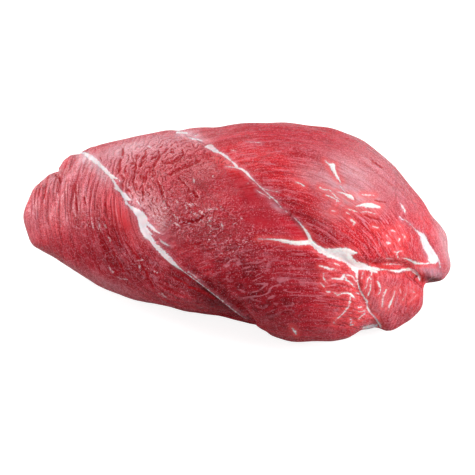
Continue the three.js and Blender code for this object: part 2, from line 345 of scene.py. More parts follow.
FILM = {
    "tail ribbon": [
        [
            (79, 152.4, 1.4), (85, 154, 3.8), (90, 157, 5.6), (95, 160.5, 5.4), (100, 165, 4.4),
            (105, 169.5, 3.8), (108, 173, 4.2), (111, 177, 3.8), (113, 180.5, 2.4), (115.5, 184.5, 2.8),
            (117.5, 188.2, 4.2), (121, 191.5, 3.2), (124.4, 195.4, 5.4), (125.5, 200.5, 2.4),
            (128, 204.3, 2.4), (131.4, 207.4, 3.6),
        ],
        [
            (131.4, 207.4, 3.6), (136.4, 211.4, 6.4), (140.6, 215.4, 9.2), (142.8, 220, 10.6),
            (142.8, 225, 8.6), (143.8, 230, 7.6), (146.6, 235, 6.8), (151, 240, 5.4), (154.6, 245, 4.8),
            (160, 250, 5.8), (165.4, 255.2, 6), (170.6, 260.6, 5.4), (176.6, 266.6, 4), (187.4, 274.7, 2),
            (199.4, 282.8, 1.3), (211, 291.5, 1.1), (227, 303, 1.1), (238, 312, 0.9), (246, 319, 0.8),
        ],
    ],
    "tail spikes": [
        [(110, 175.4, 4), (115, 177.6, 2.8), (119, 179.7, 1.6), (120.6, 182, 0.5)],
        [(124.4, 195.4, 5.4), (127.4, 198.4, 5), (130.4, 199.9, 2.2), (133.4, 200.6, 0.3)],
        [(146, 219, 3), (149.6, 220, 0.4)],
        [
            (144, 221, 6), (148.5, 224.4, 4.2), (152, 227.4, 3.6), (155.5, 230.5, 3), (159, 232.8, 1.7),
            (162, 234.3, 0.3),
        ],
        [(145, 228, 5), (149, 232.4, 2.6), (152, 234.2, 1.7), (155.4, 235.7, 0.3)],
        [(116, 188.4, 3), (116.6, 192.2, 0.5)],
        [(125.8, 202.4, 2.6), (126, 206.6, 0.5)],
    ],
    "tail slivers": [
        [(136.2, 198.6, 0.7), (137, 201.6, 1.7), (139.2, 203.9, 1.5), (141.2, 205.9, 0.5)],
        [(159.4, 238.4, 0.6), (161.6, 241, 2.3), (165, 243.6, 2.4), (168, 245.2, 1.5), (171.2, 246.5, 0.3)],
        [(188.8, 272, 0.9), (199.8, 280, 1.1)],
        [(216, 294.7, 0.9), (228, 304.4, 1)],
    ],
    "round seam": [
        [(177, 132.4, 2.6), (187, 132.8, 2.4)],
        [(189, 137.6, 1.4), (193, 138.6, 2.2), (198, 139.6, 1.4), (203, 141.4, 0.7)],
        [(195.4, 135.8, 1.6), (198, 134.6, 1.2)],
        [
            (205.6, 146.8, 2.4), (210.4, 147.2, 6), (214.6, 150.3, 4.8), (219, 152.2, 2.8),
            (223.4, 154.6, 3), (227, 157.4, 3), (231, 160.8, 1.8), (234.2, 163.6, 2.6), (236.2, 166, 3.6),
            (237.6, 167.4, 2.4),
        ],
        [
            (225.4, 166.6, 0.7), (230, 166.8, 1.3), (236, 167.8, 1.8), (242, 169.2, 2.8), (246, 172.2, 3.2),
            (249, 175.6, 2.8), (252, 178.8, 2.2), (255, 181.6, 1.4), (258, 184.4, 1), (261, 187.4, 1.6),
            (264, 190.2, 1.3), (267, 193, 1.4), (270, 196, 2), (273.6, 198.8, 1.5), (276.4, 201.4, 1.2),
            (279.4, 205.2, 0.7), (281.2, 207.8, 1.5), (283.2, 209, 0.6),
        ],
        [(285.4, 211, 1.2), (287.6, 212.3, 1)],
        [(293, 216.6, 0.3), (297, 220.4, 1.6), (300.2, 223.6, 1.8), (303, 227, 2)],
    ],
    "round threads": [
        [(260, 187, 1.4), (265, 189, 1.2), (270, 190.6, 0.7), (279, 191.6, 0.4)],
        [(256, 189.6, 0.7), (260, 192.4, 1.5), (265, 195, 1.1), (270, 198.2, 1.6)],
        [(246, 142.3, 0.3), (254, 142.5, 0.8), (262, 142.9, 0.3)],
        [(339.6, 185.6, 0.9), (342, 188, 1.8), (344, 190.6, 1.5), (345.6, 192.4, 1.2)],
        [(401, 203.4, 1), (403, 206.6, 2.6), (404.6, 210, 2.2), (405.2, 212.4, 1)],
    ],
    "end ribbon": [
        [
            (399.6, 216.4, 0.8), (401.6, 219, 1.2), (405, 220.2, 0.7), (408.6, 222, 0.9), (412, 225.4, 0.8),
            (416, 229.4, 1), (419.4, 232.6, 2.6), (422, 235.6, 6), (423.3, 239, 7.8), (424.8, 243.6, 8),
            (427.6, 248.6, 8.2), (430.6, 252.8, 9), (432.4, 256.4, 10), (433, 259, 10.8),
        ],
        [(436, 255, 3), (438.4, 259.4, 2.4), (439.6, 263.6, 1.5), (440.4, 267.6, 1)],
    ],
    "tendon": [
        [(364, 327.6, 3), (369, 327, 5), (376.6, 325.4, 3)],
    ],
}
# Glints are painted highlights, laid down as strokes.
PAINTED_GLINTS = {
    "tail": [
        [(138, 260.8, 0.6), (142.4, 259.8, 1)],
        [(139, 265, 0.6), (140, 270, 1.1)],
        [(158.8, 293.4, 0.6), (163, 295, 1.1), (167, 297.6, 0.6)],
        [(154, 271, 0.6), (157, 272.6, 0.9)],
        [(117, 277.6, 0.6), (122, 280, 1), (127, 279.4, 0.6)],
        [(109, 268, 0.6), (113, 272.6, 1)],
        [(92, 218, 1), (92.6, 224, 1.4), (93.4, 228, 0.7)],
        [(98.6, 222, 0.8), (100, 228, 1.2), (101.4, 232, 0.7)],
        [(86.4, 214, 0.9), (87, 219, 0.9)],
        [(104.6, 224.4, 0.8), (105.4, 227.6, 1)],
        [(108, 236, 0.7), (110, 241, 1.1)],
    ],
    "slab": [
        [(193.6, 178.6, 0.7), (193.8, 181, 1.5), (194, 183, 0.8)],
        [(186.2, 203.4, 0.9), (189.6, 204.8, 1.2), (193.6, 207.4, 0.9)],
        [(190.8, 202.8, 1.3), (193, 204.6, 1.7)],
        [(186.2, 206, 1.2), (186.8, 208.8, 1.1)],
        [(191.4, 212.4, 0.7), (196, 214.8, 1.3), (200.4, 216.6, 0.8)],
        [(200, 211, 0.8), (202.4, 213.2, 1.3), (204.6, 214.6, 0.7)],
        [(206, 210.4, 0.5), (211, 209.8, 1), (217, 209.2, 0.7)],
        [(213.4, 176.6, 1.4), (214, 177.4, 1.4)],
        [(171, 221, 0.7), (175, 223.4, 0.7), (178.2, 225.4, 1.6), (179.4, 226.2, 1.2)],
        [(164, 201, 0.8), (165.6, 205, 0.9), (166.8, 208.6, 0.7)],
        [(173.4, 214.6, 0.8), (176, 217, 1), (178, 219.4, 0.7)],
        [(208.4, 224.6, 0.7), (210.6, 226.6, 1.1), (212.6, 229.6, 0.8)],
        [(221.8, 223.6, 1), (222.6, 228.6, 1.2)],
        [(208.8, 218, 1), (210, 221, 0.8)],
        [(240.8, 217.6, 1), (242.4, 219.6, 0.8)],
        [(149, 146.4, 2), (150.6, 147.4, 1.6)],
        [(176.6, 201.4, 0.8), (178.6, 203.4, 0.8)],
        [(231, 150.4, 0.7), (234.4, 150.8, 0.9)],
    ],
}
# Dark creases: painted shade along lines, over a shallow dip in the mesh.
CREASE_SHADE_STROKES = {
    "slab": [
        [(122.6, 148.6, 1.2), (123.4, 152, 1.6), (122, 155.4, 0.9)],
        [(120.2, 158.6, 0.8), (119.6, 165, 1.4), (118.8, 171.4, 1.2)],
        [(121.8, 175.4, 1.6), (122.6, 178, 1.6)],
        [
            (131.4, 163, 1.6), (135, 163.2, 2), (136.2, 167, 1.4), (134.6, 170.4, 1.6), (134.6, 174, 1.4),
            (133.4, 180, 1), (131.6, 183.4, 0.7),
        ],
        [(137.2, 154.8, 1), (135.6, 158, 1.7)],
        [(145.6, 151, 0.9), (145.2, 155.4, 1.8), (142.4, 158.6, 1.4)],
        [(144.6, 160, 1), (141, 163.4, 1.5), (140.4, 166.4, 1)],
        [
            (158.6, 151.4, 1.4), (159.4, 155.4, 2.2), (157.4, 160.4, 1.8), (153.6, 165.4, 1.5),
            (151.8, 167, 0.7),
        ],
        [(151.4, 158.6, 1.1), (155.6, 157, 1.3)],
        [(153.4, 169, 0.9), (152.2, 172, 1.5), (153.8, 177.4, 0.9)],
        [(147.4, 172, 0.8), (145.6, 178, 1.2), (144.8, 182, 0.7)],
        [(157.4, 181, 1), (160, 186, 2), (161.6, 191, 1.8), (163.8, 197.4, 0.9)],
        [(142.4, 185.4, 0.8), (142.6, 190, 1.4), (143.8, 194.6, 1.2)],
        [(135.8, 183.6, 1), (136.6, 188.4, 1.4)],
        [(127.6, 189.4, 1.4), (129.8, 191, 1.2)],
        [(164, 162.8, 1), (171.6, 162.8, 1.8), (178.6, 159.4, 2), (183.4, 154.4, 1)],
        [(169.4, 175.2, 1.4), (178.6, 169.6, 2.2), (190, 165.4, 2), (199.4, 161, 0.9)],
        [(178.4, 178, 0.9), (182.6, 182, 1.5), (187, 186.4, 0.9)],
        [(193.4, 191.4, 1.8), (195.6, 194.6, 2.6), (198, 197.6, 1.4)],
        [(188.6, 187.6, 1.2), (189.8, 191.6, 1.6)],
        [(179, 221, 0.8), (188, 221.6, 1.6), (197, 220.2, 1.8), (204, 216.2, 1.3), (207, 213, 0.7)],
        [(191.4, 244.2, 0.8), (196, 243.8, 1.2), (200, 243.6, 0.6)],
        [(164.6, 201.2, 0.7), (168, 205, 1), (170.4, 208, 0.6)],
        [(190, 200.4, 0.7), (193, 203, 1), (197, 207, 0.8)],
        [(163.6, 152, 0.9), (167, 148.6, 1.2)],
        [(150.6, 167.8, 0.7), (149.4, 175, 0.9)],
    ],
    "seams": [
        [(366, 260.4, 0.7), (372, 262.4, 1.4), (380, 265.4, 2), (387, 267.4, 2.6), (394, 268.2, 1)],
        [(416.6, 265.4, 0.7), (419.6, 265.5, 1.3), (422.4, 265.2, 0.6)],
    ],
    "corner": [
        [(358.8, 273, 1), (358.6, 280, 1.9), (360.4, 286, 1.2)],
        [(374.2, 274, 0.9), (375.2, 280, 1.8), (376.4, 287, 3), (376, 293, 1.6)],
    ],
    "oval hole": [
        [(371.8, 206.4, 1.5), (372.3, 206.6, 1.5)],
    ],
    "round": [
        [(364, 214.8, 0.8), (370, 217, 1.5), (379, 219.8, 0.8)],
        [(372, 160.6, 0.7), (376.4, 163.8, 1.2), (382.4, 167.4, 0.7)],
        [(375, 200, 0.6), (380, 201.4, 1.1), (386, 202, 0.5)],
    ],
    "tail": [
        [(48.6, 176.6, 1), (46.4, 181, 2), (45.4, 188, 1.6), (44.2, 197, 0.8)],
        [(39, 185, 1), (39.4, 190, 1.6), (39, 196, 0.7)],
        [(55.4, 174, 1.2), (59.4, 178.6, 1.8), (60.6, 184, 1.2)],
        [(76, 185, 0.9), (76, 198, 1.1), (77, 210, 0.8)],
        [(84.4, 197, 0.8), (85.6, 204, 1.2)],
        [(105.4, 202, 0.9), (106.4, 213, 1.5), (107.4, 217, 0.7)],
        [(104, 219, 0.8), (106, 228, 1.6), (109, 235, 1.2), (112, 239, 0.6)],
        [(101.4, 160.6, 0.5), (100.6, 158, 0.7)],
        [
            (127.7, 244.4, 0.7), (134, 253, 1.3), (140.3, 262.7, 1.6), (145, 271, 1.8), (149.4, 279.9, 1),
            (153, 287, 0.6),
        ],
        [(160, 256, 0.8), (168, 263.6, 1.6), (177, 271.4, 2.8), (184, 276.4, 2.6), (192, 282.2, 1)],
        [(186, 287, 0.8), (196, 290.4, 2), (206, 296, 2.2), (213, 300.6, 1)],
        [(226, 308.6, 0.8), (234, 313.6, 1.8), (243, 318.8, 2.2), (250, 322.6, 1)],
        [(112, 250, 0.7), (117, 260, 1.5), (123, 271, 0.8)],
        [(100, 236, 0.7), (105, 249, 1.3), (110, 260, 0.7)],
        [(160, 284, 0.7), (170, 290, 1.3), (182, 296, 0.8)],
        [(170, 276, 0.7), (178, 281, 1.5), (186, 285, 0.8)],
    ],
}
FOLDS = {
    "tail flap": [(64, 152), (61, 163), (58, 174), (55.5, 185), (54, 197)],
    "tail groove 1": [(47.5, 170), (45, 182), (43.5, 196), (44, 208)],
    "tail groove 2": [(39.5, 176), (37, 190), (36, 203)],
    "tail groove 3": [(31.5, 190), (31, 203), (33, 214)],
    "tail groove 4": [(74, 190), (72.5, 205), (75, 219)],
    "tail groove 5": [(101, 203), (106, 215), (113, 228), (119, 236)],
    "slab lip": [(172, 263), (190, 277), (212, 294), (235, 312), (247, 323)],
    "slab fold": [(178, 221.6), (190, 222), (198, 220.4), (205, 216)],
    "end slit": [(409, 268), (416, 272), (421, 277), (425, 283)],
    "end lip": [(403, 218), (412, 227.4), (420, 235), (430, 244), (437, 256), (441, 267)],
    "corner crease": [(across, down) for view, across, down in SEAMS["corner"]],
}
for kind, groups in (("fat", FAT), ("silverskin", FILM), ("painted_glints", PAINTED_GLINTS), ("creases", CREASE_SHADE_STROKES)):
    print(sum(len(strokes) for strokes in groups.values()), "strokes for", kind)


STROKE_REACH = 12
FOLD_FADE = 5


def outline_distance(places, stroke):
    """How far places in the picture are outside a stroke's outline, in pixels, and negative inside."""
    nearest = np.full(len(places), np.inf)
    for (x0, y0, width0), (x1, y1, width1) in zip(stroke, stroke[1:]):
        start = np.array([x0, y0])
        span = np.array([x1, y1]) - start
        share = np.clip((places - start) @ span / (span @ span), 0, 1)
        away = np.linalg.norm(places - start - share[:, None] * span, axis=1)
        nearest = np.minimum(nearest, away - (width0 + (width1 - width0) * share) / 2)
    return nearest


def nearest_outline(places, groups):
    """The distance to the nearest stroke of some groups, for places near enough to one."""
    nearest = np.full(len(places), np.inf)
    for stroke in itertools.chain(*groups.values()):
        spots = np.array(stroke)[:, :2]
        above = places > spots.min(axis=0) - STROKE_REACH
        below = places < spots.max(axis=0) + STROKE_REACH
        near = np.all(above & below, axis=1)
        nearest[near] = np.minimum(nearest[near], outline_distance(places[near], stroke))
    return nearest


def beside_fold(places, fold):
    """Distance to a fold, positive on its right-hand side, and its strength there, 0 at its ends."""
    stops = np.array(fold, dtype=float)
    lengths = np.linalg.norm(np.diff(stops, axis=0), axis=1)
    distance = np.full(len(places), np.inf)
    aside = np.zeros(len(places))
    travelled = np.zeros(len(places))
    for number, (start, end) in enumerate(zip(stops, stops[1:])):
        span = end - start
        offset = places - start
        share = np.clip(offset @ span / (span @ span), 0, 1)
        away = np.linalg.norm(offset - share[:, None] * span, axis=1)
        closer = away < distance
        distance[closer] = away[closer]
        crossed = span[0] * offset[:, 1] - span[1] * offset[:, 0]
        aside[closer] = np.sign(crossed)[closer]
        travelled[closer] = (lengths[:number].sum() + share * lengths[number])[closer]
    whole = travelled / lengths.sum()
    strength = np.clip(np.minimum(whole, 1 - whole) * FOLD_FADE, 0, 1) * (np.abs(whole - 0.5) < 0.4999)
    return distance * -aside, strength


# %% [markdown]
# ## A mesh that is fine where it needs to be
# The solid's triangles are about six millimetres wide. Splitting all of them until they carry a one
# millimetre vein would take millions. So each edge is split only while it is longer than that part of the
# meat needs: short along the strokes, middling over the lean, long underneath. New corners bulge out along
# the normals of their two ends, which rounds the facets as they are split.

# %% Split the triangles
def corner_normals(points, triangles):
    """The normal at each corner, averaged over its triangles by area."""
    a, b, c = (points[triangles[:, k]] for k in range(3))
    faces = np.cross(b - a, c - a)
    normals = np.zeros_like(points)
    for k in range(3):
        np.add.at(normals, triangles[:, k], faces)
    return normals / np.maximum(np.linalg.norm(normals, axis=1, keepdims=True), 1e-12)


def split_edges(points, triangles, longest):
    """Splits each edge that is longer than wanted in two, and its triangles into two, three or four."""
    normals = corner_normals(points, triangles)
    sides = np.sort(np.stack([triangles, np.roll(triangles, -1, axis=1)], axis=2), axis=2)
    edges, of_side = np.unique(sides.reshape(-1, 2), axis=0, return_inverse=True)
    of_side = of_side.reshape(-1, 3)
    start, end = points[edges[:, 0]], points[edges[:, 1]]
    length = np.linalg.norm(end - start, axis=1)
    split = length > (longest[edges[:, 0]] + longest[edges[:, 1]]) / 2
    for _ in range(3):
        marked = split[of_side]
        two = marked.sum(axis=1) == 2
        split[of_side[two]] = True
    bulge_start = ((end - start) * normals[edges[:, 0]]).sum(axis=1, keepdims=True) * normals[edges[:, 0]]
    bulge_end = ((start - end) * normals[edges[:, 1]]).sum(axis=1, keepdims=True) * normals[edges[:, 1]]
    middles = (start + end) / 2 - (bulge_start + bulge_end) / 8
    number = np.full(len(edges), -1)
    number[split] = len(points) + np.arange(split.sum())
    middle = number[of_side]
    count = (middle >= 0).sum(axis=1)
    result = [triangles[count == 0]]
    four = triangles[count == 3], middle[count == 3]
    a, b, c = four[0].T
    ab, bc, ca = four[1].T
    result += [np.stack(three, axis=1) for three in ((a, ab, ca), (ab, b, bc), (ca, bc, c), (ab, bc, ca))]
    for turn in range(3):
        turned = np.roll(triangles, -turn, axis=1)
        turned_middle = np.roll(middle, -turn, axis=1)
        one = (count == 1) & (turned_middle[:, 0] >= 0)
        a, b, c = turned[one].T
        ab = turned_middle[one][:, 0]
        result += [np.stack((a, ab, c), axis=1), np.stack((ab, b, c), axis=1)]
        pair = (count == 2) & (turned_middle[:, 0] >= 0) & (turned_middle[:, 1] >= 0)
        a, b, c = turned[pair].T
        ab, bc = turned_middle[pair][:, 0], turned_middle[pair][:, 1]
        result += [np.stack(three, axis=1) for three in ((a, ab, c), (ab, b, bc), (ab, bc, c))]
    return np.concatenate([points, middles[split]]), np.concatenate(result)


LEAN_EDGE = 2.6
BACK_EDGE = 4.4
UNDERSIDE_EDGE = 7
UNDERSIDE_TOP = 1.5
STROKE_EDGE = 0.9
STROKE_NEAR = 0.5
STROKE_FAR = 4.5
FOLD_HALF = 2
GROOVED_RIGHT = 100
GROOVED_LOW = 235
GROOVED_NEAR = 2.5
TURNED_AWAY = 0.02
SPLITTINGS = 4


def wanted_length(points, normals):
    """How long an edge may be at each corner, in millimetres."""
    in_sight = normals @ -front.forward > TURNED_AWAY
    above = points[:, 2] > UNDERSIDE_TOP
    longest = np.where(in_sight, LEAN_EDGE, BACK_EDGE)
    longest[points[:, 2] < UNDERSIDE_TOP] = UNDERSIDE_EDGE
    places = front.pixels(points)
    near = np.minimum.reduce([nearest_outline(places, groups) for groups in (FAT, FILM, PAINTED_GLINTS, CREASE_SHADE_STROKES)])
    for fold in FOLDS.values():
        near = np.minimum(near, np.abs(beside_fold(places, fold)[0]) - FOLD_HALF)
    grooved = (places[:, 0] < GROOVED_RIGHT) & (places[:, 1] < GROOVED_LOW)
    near = np.where(grooved, np.minimum(near, GROOVED_NEAR), near)
    stroke_edge = np.interp(near, [STROKE_NEAR, STROKE_FAR], [STROKE_EDGE, LEAN_EDGE])
    return np.where(in_sight & above, np.minimum(longest, stroke_edge), longest)


for _ in range(SPLITTINGS):
    wanted = wanted_length(points, corner_normals(points, triangles))
    points, triangles = split_edges(points, triangles, wanted)
    print("split into", len(triangles), "triangles")

# %% [markdown]
# ## Evening out
# Splitting leaves faint facets. A few rounds of moving each corner towards the middle of its neighbours,
# and then a little back, take them out without shrinking the joint. The flat underside is held where it is.
# Under the fat the seam's crease would show as a grey hollow, so there plain smoothing fills it.

# %% Smooth the mesh
def smoothed(points, triangles, rounds, forward=0.5, backward=-0.52):
    """Taubin smoothing: each round shrinks a little and swells a little."""
    pairs = np.concatenate([triangles[:, [0, 1]], triangles[:, [1, 2]], triangles[:, [2, 0]]])
    pairs = np.unique(np.sort(pairs, axis=1), axis=0)
    count = np.bincount(pairs.reshape(-1), minlength=len(points))[:, None]
    for step in [forward, backward] * rounds:
        total = np.zeros_like(points)
        np.add.at(total, pairs[:, 0], points[pairs[:, 1]])
        np.add.at(total, pairs[:, 1], points[pairs[:, 0]])
        points = points + step * (total / count - points)
    return points


SMOOTH_ROUNDS = 4
FAT_FILL_REACH = 1.0
FAT_FILL_ROUNDS = 40
FAT_FACING = 0.1
ON_FLOOR = 0.05
underside = points[:, 2] < ON_FLOOR
points = smoothed(points, triangles, SMOOTH_ROUNDS)
points[underside, 2] = 0
in_fat = nearest_outline(front.pixels(points), FAT) < FAT_FILL_REACH
in_fat &= corner_normals(points, triangles) @ -front.forward > FAT_FACING
filled = smoothed(points, triangles, FAT_FILL_ROUNDS, backward=0.0)
points = np.where(in_fat[:, None], filled, points)
points = smoothed(points, triangles, 1)
points[underside, 2] = 0
normals = corner_normals(points, triangles)
places = front.pixels(points)
facing = normals @ -front.forward
print("smoothed", len(points), "corners, and filled the hollow under the fat at", int(in_fat.sum()))

# %% [markdown]
# ## Which muscle is where
# Every corner is told which muscle it belongs to, by the side of the nearest seam that it is on. Muscle
# fibres sweep along each muscle in long arcs, so each muscle gets a centre in the picture that its fibres
# turn about. From that come fibre coordinates: one number along the fibre and two across it, all in
# millimetres. A noise texture that is read by these coordinates, squeezed along the fibre, turns into
# strands that follow the muscle.

# %% Sort the corners into muscles and lay fibre coordinates
def beside(name, points, normals):
    """Distance to a seam, negative on the right-hand side of its direction."""
    line = seam_lines[name]
    along = np.gradient(line, axis=0)
    along /= np.linalg.norm(along, axis=1, keepdims=True)
    distance = np.full(len(points), np.inf)
    nearest = np.zeros(len(points), dtype=np.int64)
    for number, spot in enumerate(line):
        away = np.linalg.norm(points - spot, axis=1)
        closer = away < distance
        distance[closer] = away[closer]
        nearest[closer] = number
    aside = np.cross(normals, along[nearest])
    side = np.sign(((points - line[nearest]) * aside).sum(axis=1))
    return distance * np.where(side == 0, 1, side)


beside_tail = beside("tail", points, normals)
beside_round = beside("round", points, normals)
beside_corner = beside("corner", points, normals)
beside_end = beside("end", points, normals)

CORNER_LEFT = 354
END_LEFT = 396
is_tail = beside_tail < 0
is_round = ~is_tail & (beside_round > 0)
is_slab = ~is_tail & ~is_round
is_corner = is_slab & (beside_corner > 0) & (places[:, 0] > CORNER_LEFT) & (facing > -0.2)
is_end = is_round & (beside_end > 0) & (places[:, 0] > END_LEFT)
is_slab &= ~is_corner
is_round &= ~is_end
MUSCLES = {"tail": is_tail, "slab": is_slab, "round": is_round, "corner": is_corner, "end": is_end}
for name, mask in MUSCLES.items():
    print(name, "has", int(mask.sum()), "corners")

# Each centre: across and down in the picture, and the muscle's direction from it in degrees.
FIBRE_CENTRES = {
    "tail": (214, 200, 225),
    "slab": (300, 500, 90),
    "round": (260, 330, 90),
    "corner": (250, 280, 0),
    "end": (260, 330, 45),
}
CRACK_CENTRE = (198, 184, 135)
USUAL_RADIUS = 90


def turned_about(centre):
    """Millimetres along arcs about a place in the picture, away from it, and into the picture.

    The third number is the direction, in degrees from the right, in which most of the muscle lies.
    The arcs start and end on the other side of the centre.
    """
    across, down, heading = centre
    offset = points - AIM
    right = offset @ front.right - (across - AIM_PIXEL[0]) * MM_PER_PIXEL
    up = offset @ front.up + (down - AIM_PIXEL[1]) * MM_PER_PIXEL
    ahead = right * math.cos(math.radians(heading)) + up * math.sin(math.radians(heading))
    aside = up * math.cos(math.radians(heading)) - right * math.sin(math.radians(heading))
    along = np.arctan2(aside, ahead) * USUAL_RADIUS
    return np.stack([along, np.hypot(right, up), offset @ front.forward], axis=1)


fibre = np.zeros_like(points)
for name, mask in MUSCLES.items():
    fibre[mask] = turned_about(FIBRE_CENTRES[name])[mask]
crack = turned_about(CRACK_CENTRE)

# %% [markdown]
# ## Noise for modelling
# Small lumps and hollows that catch the light have to be in the mesh itself. For those we need noise in
# Python too: random values on a grid, blended smoothly between the grid's corners.

# %% A noise function
def cloud(spots, size, seed):
    """Smooth noise from -1 to 1 with lumps of about that size. The size may differ by direction."""
    scaled = spots / np.asarray(size, dtype=float)
    cell = np.floor(scaled).astype(np.int64)
    inside = scaled - cell
    blend = inside ** 3 * (inside * (inside * 6 - 15) + 10)
    total = np.zeros(len(spots))
    for corner in itertools.product((0, 1), repeat=3):
        mixed = (cell + corner) @ np.array([73856093, 19349663, 83492791]) + seed * 2654435761
        mixed = (mixed ^ (mixed >> 13)) * 1274126177 & 0x7FFFFFFF
        mixed = (mixed ^ (mixed >> 15)) * 2246822519 & 0x7FFFFFFF
        value = (mixed & 0xFFFF) / 32767.5 - 1
        total += value * np.prod(np.where(corner, blend, 1 - blend), axis=1)
    return total


def ramp(values, low, high):
    """0 below low, 1 above high, and an even curve between. It falls instead where low is above high."""
    share = np.clip((values - low) / (high - low), 0, 1)
    return share * share * (3 - 2 * share)


# %% [markdown]
# ## Where the white lies
# For each kind of stroke the mesh carries a distance to the nearest stroke's outline, negative inside. The
# material will turn it into an edge and can fray that edge with noise finer than the mesh. Behind, where no
# photograph helps, silverskin follows the seams as thin broken threads.

# %% Measure the distances
EDGE_FAR = 14
SEAM_FILM_HALF = 1
SEAM_FILM_VARIES = 2
SEAM_FILM_SOFTNESS = 0.5
FILM_DEEPEST = -4
seen = ramp(facing, 0.0, 0.12)


def edge_of(groups):
    """The distance to some groups of strokes, which ends where the meat turns away from the camera."""
    return np.minimum(nearest_outline(places, groups), EDGE_FAR) + (1 - seen) * EDGE_FAR


fat_edge = np.where(seen > 0, edge_of(FAT), EDGE_FAR)
crease_edge = edge_of(CREASE_SHADE_STROKES)
painted_glint_edge = edge_of(PAINTED_GLINTS)
patchy = cloud(points, 22, 41) * 0.6 + cloud(points, 9, 42) * 0.4
beside_seam = np.minimum(np.abs(beside_tail), np.abs(beside_round))
seam_edge = (beside_seam - SEAM_FILM_HALF - patchy * SEAM_FILM_VARIES) * SEAM_FILM_SOFTNESS
seam_edge = np.clip(seam_edge + seen * EDGE_FAR, FILM_DEEPEST, EDGE_FAR)
film_edge = np.where(seen > 0.5, np.minimum(nearest_outline(places, FILM), EDGE_FAR), seam_edge)
print("fat on", int((fat_edge < 0).sum()), "corners and silverskin on", int((film_edge < 0).sum()))

# %% [markdown]
# ## Tones
# Lean is not one red. It has a pink bloom where its skin is still on, with painted sheen over it, a clear
# bright red where it was just cut, and a purple red with painted shade low down and in the hollows. Painted
# light makes the parts that face the side lights lighter, over the tail's own lighter red. Thin skin lies
# as a pink veil on a few parts, and painted sheen on others. It is wrinkled, grooved or netted here,
# streaked or smooth there. Each such tone is a few large soft ovals, laid out in the picture like the
# strokes.

# %% Lay out the tones
def patch(x, y, wide, high, turn=0.0, most=1.0):
    """A soft oval area of the picture: strongest in its middle, fading to nothing beyond its half sizes."""
    angle = math.radians(turn)
    across = (places[:, 0] - x) * math.cos(angle) + (places[:, 1] - y) * math.sin(angle)
    down = -(places[:, 0] - x) * math.sin(angle) + (places[:, 1] - y) * math.cos(angle)
    return most * np.exp(-((across / wide) ** 2 + (down / high) ** 2)) * seen


def patches(spots):
    """Several such areas together."""
    return np.clip(sum(patch(*spot) for spot in spots), 0, 1)


